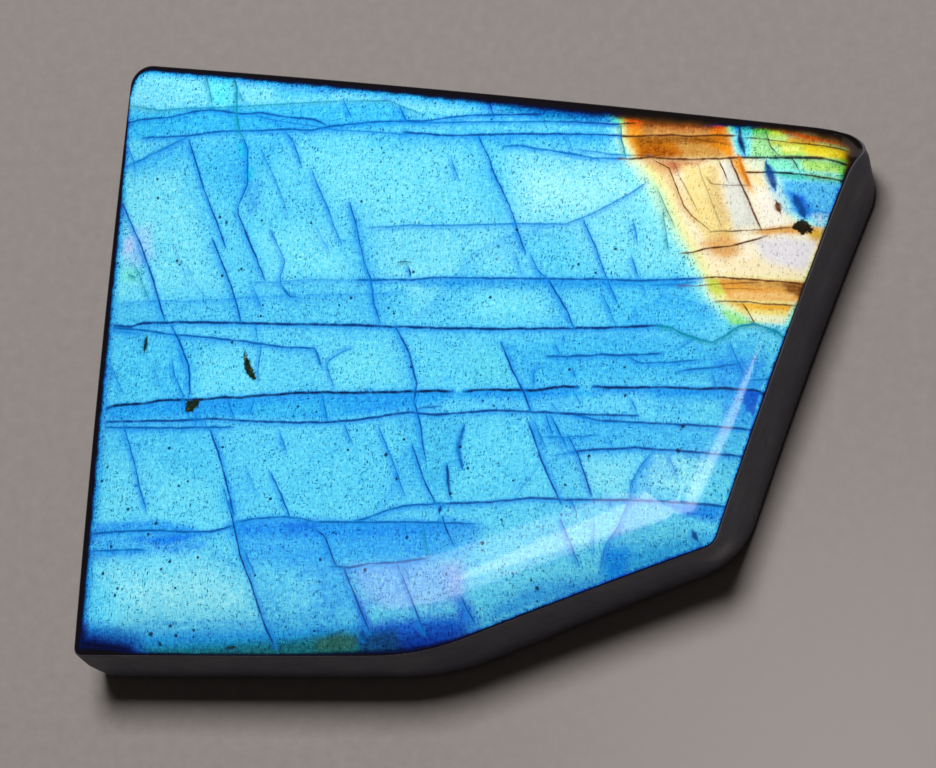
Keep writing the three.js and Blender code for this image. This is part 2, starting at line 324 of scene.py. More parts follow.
# The soft patches are laid one over another, in this order.
BLUE_WASHES = [
    # The upper strip and the band of bluer layers under it
    wash((124, 226, 251), 0.95, 0.35, (-19, 15.6), (-18.8, 13.45), (-16.7, 13.08), (-9, 13.05), (-4.2, 12.95),
         (-2.8, 12.2), (-0.5, 12), (0.6, 12.6), (-3, 13.4), (-9, 14.1)),
    wash((92, 236, 251), 0.8, 0.4, (-14.3, 14.7), (-13.7, 13.05), (-12.4, 13), (-12.9, 14.5)),
    wash((62, 196, 244), 0.8, 0.4, (-10.6, 14.1), (-10.4, 13.3), (-7.4, 13.3), (-7.2, 13.8)),
    wash((58, 192, 244), 0.9, 0.3, (-18.8, 13.3), (-16.7, 12.98), (-9, 12.95), (-4.2, 12.85), (-3.4, 12.4),
         (-2.8, 11.7), (-4.5, 11.3), (-8, 11.5), (-18.7, 11.7)),
    wash((54, 194, 246), 0.6, 0.3, (-18.7, 12.65), (-14, 12.7), (-9.4, 12), (-8.5, 11.6), (-18.6, 11.8)),
    wash((6, 190, 228), 0.95, 0.5, (1.6, 12.8), (2, 12.1), (5, 11.6), (8, 11.4), (9, 11.9), (4, 12.8)),
    wash((72, 199, 246), 0.8, 0.7, (-18.6, 10.2), (-14.8, 11.2), (-10, 11.4), (-9, 10.8), (-11.5, 8.6),
         (-13.2, 8.8), (-15, 10.2), (-17, 9.6)),
    wash((72, 200, 246), 0.75, 0.6, (-14.3, 10.4), (-12.1, 11), (-11.6, 9.2), (-12, 7.4), (-13.2, 8)),
    wash((66, 196, 244), 0.7, 0.4, (-5, 11.1), (8, 10.4), (8.5, 9.9), (4, 9.9), (1, 10.2), (-5, 10.5)),
    # The pale field beside the gold, and the wide field left of it
    wash((116, 226, 248), 0.9, 1.4, (-9, 10.5), (0, 10), (1.5, 6.5), (-4.5, 6), (-7, 8)),
    wash((156, 242, 251), 1.0, 1.5, (3, 9.2), (8.6, 9), (10.8, 6.2), (9.6, 6.4), (6.5, 6), (3.6, 6.2)),
    wash((128, 231, 248), 0.9, 0.9, (6.5, 5.8), (10.8, 7), (12.2, 3.8), (12, 3.1), (8, 3.4), (6.6, 4.4)),
    wash((122, 228, 248), 0.8, 0.8, (-19, 9.8), (-15.2, 9.6), (-14, 6.8), (-12.8, 3.4), (-16, 3.3),
         (-19, 3.3)),
    wash((126, 229, 248), 0.7, 0.8, (-1.8, 1.6), (-0.6, 2.6), (0.7, 4.4), (2.6, 5.4), (5, 5.9), (-4.4, 6),
         (-4, 3.6)),
    # Between the long level lines
    wash((84, 204, 244), 0.8, 0.3, (-18.7, 2.95), (-12, 2.7), (-2.4, 2.7), (-2, 1.1), (-9, 1.5), (-18.6, 2)),
    wash((40, 168, 236), 0.9, 0.3, (-2, 3.25), (0, 3.2), (6, 2.85), (13, 2.6), (13.2, 2.25), (9, 2.3),
         (3, 2.55), (-1.6, 2.9)),
    wash((74, 202, 248), 0.8, 0.5, (7.5, 2.2), (13.4, 2.4), (14.4, 1), (12, -0.2), (11, 0.3), (8.5, 0.4)),
    wash((74, 202, 246), 0.8, 0.6, (-18.9, 1.6), (-14.6, 0.9), (-13, 0.4), (-14, -2.2), (-18.9, -2.2)),
    wash((108, 222, 246), 0.9, 0.9, (-7, 0.2), (-2.8, 0), (-2.4, -2), (-6.6, -2.1), (-7.4, -1)),
    wash((104, 218, 247), 0.6, 0.6, (-13.8, -0.2), (-10.6, -0.4), (-10.2, -1.9), (-13.9, -1.9)),
    wash((64, 192, 244), 0.8, 0.5, (2.4, -0.2), (9, 0.1), (13.4, -0.7), (15.8, -0.2), (16.3, -2.2),
         (12, -2.4), (4.4, -2.4)),
    wash((88, 208, 232), 0.5, 0.5, (1, -0.6), (2.6, -0.4), (3.4, -2.2), (1.2, -2.3)),
    wash((42, 172, 243), 0.95, 0.25, (-19, -2.4), (0, -2.55), (15.7, -2.85), (15.9, -3.4), (0, -3),
         (-3.3, -3.5), (-6.6, -3.7), (-12.6, -3.3), (-19, -3.05)),
    wash((88, 204, 248), 0.7, 0.35, (0, -3), (6, -3.1), (13, -3.4), (13, -4.4), (7, -3.8), (0, -3.5)),
    # The middle and lower fields
    wash((78, 201, 244), 0.8, 0.5, (-18.9, -3.5), (-13, -3.9), (-11.4, -8.2), (-18.9, -8.2)),
    wash((110, 222, 246), 0.8, 0.9, (-19, -7), (-15.2, -6.2), (-12.4, -7), (-12.2, -8.2), (-19, -8.1)),
    wash((88, 208, 246), 0.6, 0.7, (-12, -4.4), (-3.4, -4.4), (-2.4, -7.4), (-4.4, -8.7), (-10.8, -8.5)),
    wash((70, 194, 238), 0.7, 0.7, (-2.6, -4), (0.6, -3.9), (0.8, -6.6), (-0.4, -8), (-2.2, -6.8)),
    wash((68, 190, 244), 0.8, 0.4, (4.4, -4), (12.8, -4.8), (15, -5), (15, -5.9), (6.4, -5.8), (5, -5)),
    wash((128, 226, 248), 0.9, 0.7, (6.8, -6.1), (10.1, -6.2), (9.3, -8), (7.7, -8)),
    # A paler patch under the lamp strip's reflection: partly painted reflection over the flash
    wash((134, 226, 248), 0.9, 0.6, (10.8, -6.2), (13.6, -6.2), (12.6, -8.2), (9.8, -8.2), (10.1, -7)),
    wash((52, 166, 244), 0.9, 0.35, (13.6, -1.3), (16.2, -1.2), (15.4, -4.7), (14.2, -4.7)),
    # The lower level bands on the left and in the middle
    wash((52, 166, 243), 0.95, 0.2, (-19.2, -8.35), (-15.4, -8.45), (-13.4, -8.95), (-13.2, -9.25),
         (-19.2, -8.95)),
    wash((66, 180, 246), 0.9, 0.3, (-19.2, -9), (-16.4, -9.1), (-16, -9.9), (-19.2, -9.7)),
    wash((8, 118, 236), 0.95, 0.25, (-17, -9.35), (-14.6, -9.25), (-12.9, -9.25), (-13.6, -9.6),
         (-15.4, -9.9), (-16, -9.6)),
    wash((44, 158, 243), 0.8, 0.3, (-19.2, -9.8), (-16, -9.95), (-12.6, -9.6), (-13, -10.2), (-19.2, -10.25)),
    wash((30, 146, 243), 0.95, 0.45, (-11.6, -8.8), (-8.6, -8.7), (-6.8, -8.9), (-4.6, -9.05), (0, -9.2),
         (1.8, -9.4), (0.4, -10), (-7, -10), (-11.4, -9.6)),
    wash((14, 104, 226), 0.8, 0.25, (-8.6, -8.95), (-6.8, -8.85), (-6.5, -9.4), (-7.4, -9.4), (-8.4, -9.6)),
    wash((52, 172, 248), 0.9, 0.8, (-11, -9.6), (-5, -9.8), (-0.4, -9.6), (1.2, -11), (-4.8, -11.1),
         (-8, -11.4), (-11, -10.6)),
    wash((66, 180, 246), 0.9, 0.8, (-7.6, -11.4), (-5.2, -11.3), (-4.4, -13.4), (-6.4, -14), (-8.4, -13)),
    # Pale lilac patches where the lamp panels' haze lies over the face: partly painted reflection over the
    # flash
    wash((110, 188, 247), 0.95, 0.5, (-4.9, -11.25), (-0.9, -11.05), (1.2, -11.4), (1, -13.1), (-1.6, -13.5),
         (-4.3, -13.2)),
    wash((138, 160, 232), 0.5, 0.4, (-0.1, -11.2), (0.9, -11.1), (1, -12.8), (0.3, -12.8)),
    wash((144, 234, 250), 1.0, 1.5, (-18.2, -11), (-13, -10.9), (-10.6, -12.2), (-10.4, -13.2), (-17, -13.2)),
    wash((86, 200, 246), 0.8, 0.8, (-10.4, -11.6), (-8.4, -11.8), (-8.2, -13.6), (-9.6, -13.6)),
    wash((104, 218, 250), 0.8, 0.9, (1.4, -10), (7.6, -9), (8, -10.4), (6, -11.6), (1.6, -12.6)),
    wash((66, 178, 244), 0.9, 0.5, (0, -9.1), (2, -9.4), (1.6, -10.4), (-0.3, -10.9)),
    wash((94, 210, 248), 0.9, 0.5, (1.4, -11.8), (4.2, -12), (4.8, -13), (2.4, -13.9), (1, -13.2)),
    wash((6, 152, 244), 0.95, 0.3, (8.3, -10.5), (9.6, -10.6), (9.2, -12), (7.9, -12.3)),
    wash((34, 170, 240), 0.8, 0.45, (9.4, -10.7), (13.6, -10), (13, -11), (9.2, -12)),
    wash((18, 136, 236), 0.9, 0.25, (11.4, -8.5), (14.2, -8.65), (13.8, -9.4), (12.4, -9.2)),
    wash((44, 160, 238), 0.8, 0.4, (4.6, -12.3), (6, -12.1), (8, -11.9), (7.6, -12.7), (4.4, -13.3),
         (1.8, -14.1), (2.4, -13.4)),
    # Blue green blobs along the crack below the upper strip, and a faint shimmer at the left edge
    wash((30, 214, 226), 0.9, 0.2, (-12.1, 11), (-11.7, 10.9), (-11.5, 10.1), (-11.9, 10.2)),
    wash((24, 206, 232), 0.9, 0.16, (-11.6, 9.6), (-11.1, 9.5), (-11.2, 8.9), (-11.5, 8.9)),
    wash((60, 170, 240), 0.7, 0.3, (-11.5, 8.8), (-10.6, 8.9), (-10.7, 7.4), (-11.4, 7)),
    wash((168, 214, 252), 0.7, 0.5, (-18.2, 7), (-16.9, 6.9), (-16.6, 5.4), (-17.6, 4.8), (-18.6, 5.6)),
    wash((130, 246, 214), 0.7, 0.25, (-18.3, 4.9), (-17.3, 4.7), (-17.5, 4.1), (-18.5, 4.3)),
    wash((200, 206, 250), 0.6, 0.25, (-18.5, 6.4), (-17.9, 6.5), (-17.9, 5.8), (-18.4, 5.7)),
    # The lower fringe
    wash((26, 158, 238), 0.9, 0.45, (-19.6, -13.4), (-16, -14.1), (-9, -14.1), (-4.6, -14), (-4.6, -16),
         (-20, -16)),
    wash((20, 142, 182), 0.9, 0.3, (-16.6, -14.75), (-9, -14.65), (-4.4, -14.6), (-4.2, -16), (-17, -16)),
    wash((26, 104, 96), 0.75, 0.3, (-16, -15), (-12, -14.95), (-7.8, -14.7), (-5.6, -14.35), (-4.2, -14.6),
         (-4, -16), (-16, -16)),
    wash((60, 104, 60), 0.5, 0.2, (-7, -14.75), (-5.4, -14.4), (-4.7, -14.7), (-5, -15.2), (-7, -15.3)),
    wash((6, 98, 220), 0.95, 0.4, (-4.6, -14.2), (-3, -13.9), (0.2, -13.7), (1.7, -14.3), (-2, -16),
         (-4.4, -15)),
    wash((6, 44, 132), 0.9, 0.35, (-3.9, -15), (-2.2, -14.7), (0, -14.8), (0.4, -15.5), (-3, -16)),
    wash((36, 74, 226), 0.9, 0.25, (-4.7, -12.8), (-4.35, -13), (-3.95, -14), (-4, -14.5), (-4.5, -14.1)),
    wash((14, 88, 226), 0.85, 0.35, (0.5, -13), (1.1, -13), (1.7, -14), (0.6, -14.2)),
    wash((6, 52, 160), 1.0, 0.7, (-20, -13.6), (-18.8, -13.9), (-16.6, -14.4), (-16, -16), (-21, -16)),
    wash((3, 24, 88), 0.9, 0.5, (-20.4, -14.2), (-18.8, -14.5), (-17.2, -14.8), (-16.8, -16), (-21, -16)),
    # Paler and deeper touches all over the face
    wash((126, 234, 252), 0.8, 0.9, (-10.5, 6), (-6.5, 6.2), (-6, 3.8), (-10, 3.8)),
    wash((130, 236, 252), 0.8, 0.8, (1, 5.2), (3.4, 5.4), (4, 3.4), (1.4, 3.4)),
    wash((126, 236, 252), 0.8, 0.7, (1.2, 2.5), (5, 2.3), (5, 1.2), (1.2, 1.4)),
    wash((104, 226, 248), 0.8, 0.3, (-5, 3.1), (-2.6, 3.1), (-2.6, 2.3), (-5, 2.3)),
    wash((64, 196, 242), 0.8, 0.3, (-10.5, -2.7), (-5.5, -2.8), (-5.5, -3.5), (-10.5, -3.3)),
    wash((104, 220, 248), 0.9, 0.6, (-18.5, -5), (-15.8, -5), (-15.8, -7), (-18.5, -7)),
    # Paler again under the lamp strip's reflection: partly painted reflection over the flash
    wash((150, 240, 250), 0.8, 0.6, (10.9, -6.2), (13, -6.2), (12.8, -7.8), (11.2, -7.8)),
    wash((104, 216, 252), 0.8, 0.7, (-9, -11.6), (-7, -11.6), (-6.6, -13.4), (-8.6, -13.4)),
    wash((116, 230, 252), 0.7, 0.6, (8, -2.8), (10.4, -2.9), (10.4, -3.9), (8, -3.8)),
    wash((116, 230, 252), 0.6, 0.8, (-13.5, 0), (-10.5, 0), (-10.5, -2), (-13.5, -2)),
    wash((4, 176, 226), 0.9, 0.4, (3.4, 12.3), (7.4, 12), (7.6, 11.3), (3.6, 11.5)),
    wash((4, 60, 176), 0.8, 0.5, (-2.2, -14.6), (0.6, -14.2), (1.4, -15), (-2, -15.6)),
    wash((12, 74, 130), 0.95, 0.35, (-4.7, -14.4), (-2.6, -14.4), (-2.6, -15.7), (-4.7, -15.7)),
]

# The corner where the flash turns from blue through green to gold and white
GOLD_WASHES = [
    # The fringe from cyan through pale green and yellow to cream
    wash((140, 240, 248), 1.0, 0.5, (7.2, 12.5), (8, 10), (8.7, 8.5), (9.6, 7), (10.4, 5.6), (11.6, 4.2),
         (12.3, 2.8), (12.9, 1.8), (13.9, 0.95), (15.3, 0.35), (16.6, 0.5), (17.4, 0), (21, 8), (20.6, 10.8)),
    wash((200, 248, 214), 1.0, 0.4, (7.8, 12), (8.3, 10), (9.1, 8.6), (10.1, 7.2), (11, 5.6), (12.1, 4),
         (12.9, 2.8), (13.3, 1.8), (14.2, 0.9), (15.4, 0.5), (17.2, 0.6), (18.8, 4.6), (16.8, 6), (15.9, 8.6),
         (14.4, 9), (13.6, 11.6)),
    wash((246, 240, 160), 1.0, 0.3, (8.1, 12), (8.6, 10), (9.6, 8.7), (10.9, 7.2), (11.7, 5.4), (12.5, 4),
         (13.2, 2.8), (13.5, 1.8), (14.7, 1.1), (17.2, 1.0), (18.8, 4.6), (16.8, 6), (15.7, 8.6), (14.2, 9),
         (13.5, 11.6)),
    wash((252, 244, 212), 1.0, 0.35, (8.9, 8.9), (10.2, 8.9), (11.3, 7.2), (12, 5.6), (12.8, 4.2),
         (13.6, 2.95), (18, 2.9), (18.9, 4.8), (17, 6), (16, 8.2), (14.9, 8.9)),
    # The top band, orange brown and streaked
    wash((204, 150, 76), 1.0, 0.25, (8.5, 12), (8.9, 9.9), (9.7, 9.15), (11.2, 9.05), (13.9, 8.95),
         (13.4, 11.4)),
    wash((242, 166, 44), 1.0, 0.22, (8.3, 11.7), (8.7, 10.2), (9.4, 9.1), (9.9, 9.2), (9.5, 10.1),
         (9.2, 11.5)),
    wash((196, 116, 20), 1.0, 0.2, (9, 10.2), (10.6, 10.15), (11.2, 9.9), (11.7, 9.3), (11.6, 9.1),
         (9.5, 9.15)),
    wash((172, 90, 10), 0.9, 0.18, (9.6, 9.65), (10.5, 9.75), (11.3, 9.35), (11.2, 9.1), (9.8, 9.1)),
    wash((204, 152, 72), 0.9, 0.25, (11.6, 10), (13.1, 9.9), (13.5, 9.1), (12, 9.1)),
    wash((216, 132, 26), 1.0, 0.18, (12.2, 10.2), (13.6, 10), (14.1, 9.5), (13.6, 9.3), (12.9, 9.7),
         (12, 9.9)),
    wash((236, 150, 30), 1.0, 0.2, (13, 11), (13.5, 10.9), (14.2, 9.6), (14.5, 8.9), (13.9, 9), (13.4, 9.7),
         (12.9, 10.1)),
    wash((176, 120, 60), 0.7, 0.3, (9.8, 11.7), (10.4, 10.8), (13, 10.6), (12.8, 11.3)),
    wash((226, 174, 96), 0.8, 0.2, (9.8, 10.8), (11, 10.9), (12.6, 10.7), (12.8, 10.3), (10, 10.3)),
    wash((152, 88, 16), 0.8, 0.16, (9.1, 10.3), (11, 10.3), (13.4, 10.1), (13.3, 9.75), (11, 9.85),
         (9.3, 9.8)),
    wash((196, 116, 20), 0.7, 0.16, (13.3, 10.4), (13.9, 10.2), (14.2, 9.7), (13.7, 9.6), (13.2, 9.9)),
    # Below the band: a smear under its edge, the orange streak and the tan field
    wash((206, 118, 62), 0.9, 0.3, (9.7, 8.95), (11, 8.95), (13, 8.85), (12.6, 8.5), (11.3, 8.2),
         (10.6, 8.3)),
    wash((247, 226, 152), 1.0, 0.35, (11.7, 8.6), (13.5, 8.6), (13.9, 7), (14.6, 5.2), (14.4, 4.6),
         (13.2, 4.6), (12.5, 5.6), (11.9, 7)),
    wash((240, 200, 126), 0.75, 0.2, (10.3, 8.9), (11.1, 8.5), (11.7, 7.4), (12.2, 6.3), (12.7, 5.7),
         (12.4, 5.6), (11.8, 6.3), (11.2, 7.3), (10.7, 8.2), (10.1, 8.6)),
    wash((226, 196, 132), 0.8, 0.25, (13.1, 8.6), (13.5, 8.5), (13.9, 7), (14.4, 5.6), (14, 5.3),
         (13.4, 6.4)),
    wash((232, 178, 98), 0.9, 0.35, (12.9, 4.5), (14.1, 5), (14.7, 4.7), (14.9, 4), (14.3, 3.5), (13.5, 3.9)),
    # The grey white field, the brown line's two sides and the white beyond it
    wash((226, 228, 216), 1.0, 0.25, (13.9, 8.7), (14.3, 8.7), (15.2, 7), (15.8, 5.3), (14.6, 5.2),
         (14.1, 6.8)),
    wash((242, 168, 48), 1.0, 0.16, (14.2, 8.95), (14.7, 8.9), (15, 8.2), (15.4, 7.4), (15.6, 6.9),
         (15.2, 7.2), (14.8, 7.8), (14.4, 8.4)),
    wash((248, 232, 176), 0.9, 0.2, (14.8, 8.8), (15.2, 8.8), (15.9, 7.7), (16.2, 7), (15.6, 6.8),
         (15.2, 7.9)),
    wash((252, 247, 230), 1.0, 0.25, (15.5, 7.4), (16.1, 7.2), (16.9, 6.3), (17.3, 5.5), (16.1, 5.3),
         (15.7, 6.2)),
    wash((196, 232, 240), 0.9, 0.25, (15.8, 8.3), (16.3, 8.2), (17, 7), (17.3, 5.9), (16.9, 6.1), (16.3, 7)),
    wash((236, 178, 96), 1.0, 0.14, (15.4, 5.0), (16.4, 5.25), (17.6, 5.4), (18.9, 5.35), (18.7, 4.95),
         (17, 4.95), (16.2, 4.85)),
    wash((222, 178, 44), 0.95, 0.16, (18.1, 5.1), (18.9, 5.2), (18.6, 4.5), (18.3, 4.6)),
    wash((233, 230, 234), 1.0, 0.3, (15.6, 4.6), (17, 4.8), (18.5, 4.6), (18.2, 3.6), (17.9, 3.1),
         (16.2, 3.3)),
    wash((252, 238, 196), 0.8, 0.3, (13.5, 3.6), (15.6, 3.8), (17.8, 3.1), (17.9, 2.75), (13.4, 2.9)),
    # The lower orange band
    wash((238, 166, 64), 1.0, 0.14, (13.6, 2.7), (18, 2.6), (17.6, 1.6), (14.4, 1.65)),
    wash((212, 162, 86), 0.9, 0.2, (14.6, 2.65), (17.9, 2.5), (17.7, 2.1), (15.4, 2.3)),
    wash((126, 66, 18), 0.9, 0.16, (16.9, 2.5), (18, 2.5), (17.8, 1.9), (17.2, 2.0)),
    wash((246, 200, 124), 0.9, 0.14, (14.4, 2.05), (17.5, 2.0), (17.4, 1.7), (14.6, 1.7)),
    wash((206, 222, 74), 0.9, 0.16, (13.2, 2.75), (13.7, 2.7), (14.2, 2.0), (13.9, 1.8), (13.4, 2.1)),
    wash((250, 190, 60), 1.0, 0.12, (14.4, 1.5), (17.4, 1.45), (17.2, 1.1), (15.2, 1.1)),
    wash((253, 228, 120), 0.9, 0.14, (14.7, 1.15), (17.2, 1.1), (17, 0.85), (15.2, 0.85)),
    wash((250, 248, 206), 0.9, 0.16, (15.3, 0.9), (17.1, 0.85), (16.9, 0.5), (15.6, 0.55)),
    wash((150, 234, 130), 0.9, 0.18, (14, 1.1), (14.7, 1.0), (15.3, 0.6), (15.9, 0.5), (15.3, 0.35),
         (14.5, 0.4)),
    # The far corner: cyan, green and yellow layers over blue
    wash((162, 228, 154), 1.0, 0.2, (15, 11.2), (15.2, 8.9), (20.3, 8.5), (20.2, 9), (17, 9.9), (16.3, 11)),
    wash((112, 226, 226), 1.0, 0.22, (14.1, 11), (15, 10.7), (15, 9.8), (15.1, 8.9), (14.7, 8.95),
         (14.3, 9.7)),
    wash((226, 236, 130), 0.9, 0.2, (15.9, 10.6), (16.6, 10.5), (17, 9.9), (16, 10)),
    wash((238, 222, 52), 1.0, 0.2, (17, 9.9), (18.4, 9.65), (20, 9.35), (20.3, 8.7), (18.2, 8.85),
         (17.6, 9.2)),
    wash((198, 228, 88), 0.9, 0.2, (16.5, 9.7), (17.7, 9.6), (18, 8.9), (16.9, 8.95)),
    wash((206, 204, 66), 0.8, 0.18, (16, 9.85), (17.5, 9.75), (17.5, 9.45), (16.2, 9.5)),
    wash((222, 176, 48), 0.8, 0.15, (16.9, 10.05), (18.5, 9.95), (18.5, 9.55), (17, 9.6)),
    wash((250, 247, 140), 0.8, 0.15, (16.8, 9.4), (17.7, 9.35), (17.7, 9.15), (16.8, 9.2)),
    wash((232, 243, 130), 0.8, 0.16, (17.5, 8.68), (19.2, 8.5), (19.1, 8.15), (17.6, 8.3)),
    wash((222, 150, 40), 1.0, 0.16, (16.3, 10.6), (18.6, 9.95), (20.6, 9.7), (20.4, 9.4), (18, 9.7),
         (16.7, 10.2)),
    wash((152, 84, 18), 0.9, 0.18, (16.6, 10.8), (18.6, 10.1), (20.5, 9.8), (20.4, 10.4), (17, 11)),
    wash((228, 238, 214), 1.0, 0.2, (15, 8.8), (16, 8.75), (16.2, 8.2), (15.3, 8.2)),
    wash((140, 242, 206), 1.0, 0.2, (16, 8.75), (17.8, 8.7), (18, 8.1), (16.2, 8.15)),
    wash((176, 232, 120), 1.0, 0.2, (17.8, 8.75), (20.1, 8.5), (20, 7.95), (18, 8.1)),
    wash((84, 222, 206), 1.0, 0.16, (16.4, 8.05), (19.9, 7.85), (19.8, 7.5), (17.4, 7.65)),
    wash((160, 220, 150), 0.8, 0.16, (18.1, 8), (19.8, 7.85), (19.7, 7.65), (18.2, 7.75)),
    wash((84, 192, 248), 1.0, 0.2, (16.9, 7.6), (19.8, 7.5), (19.2, 6), (18.4, 5.8), (17, 7)),
    wash((50, 152, 246), 0.9, 0.2, (17.1, 7), (18, 6.8), (18.5, 6.1), (18.1, 5.75), (17.5, 6.1)),
    wash((8, 74, 222), 0.9, 0.2, (17.3, 6.9), (17.9, 6.8), (18.3, 5.9), (17.8, 5.9)),
    wash((170, 214, 242), 0.9, 0.2, (18.4, 6.0), (19.2, 6.0), (18.9, 5.45), (18.4, 5.5)),
]

# What a line or a grain is made of
BLUE, TEAL, SOOT, BROWN, ORANGE = 0.0, 0.25, 0.5, 0.75, 1.0
# The side of a line with the deeper shade: WEST also means below a level line.
BOTH, EAST, WEST = 0, 1, -1


def vein(strength, shade, *points, kind=BLUE, reach=0.45, side=WEST, width=0.0, lens=False):
    """A line in the stone, in millimetres: level ones run from west to east and steep ones downwards. It has
    a strength, the depth and reach of the shade beside it, and a half width where that isn't the usual."""
    return dict(strength=strength, shade=shade, kind=kind, reach=reach, side=side, width=width, lens=lens,
                points=np.array(points, float))


def grain(strength, shade, *points, **more):
    """A long dark grain: it is widest in its middle, as a lens is."""
    return vein(strength, shade, *points, lens=True, **more)


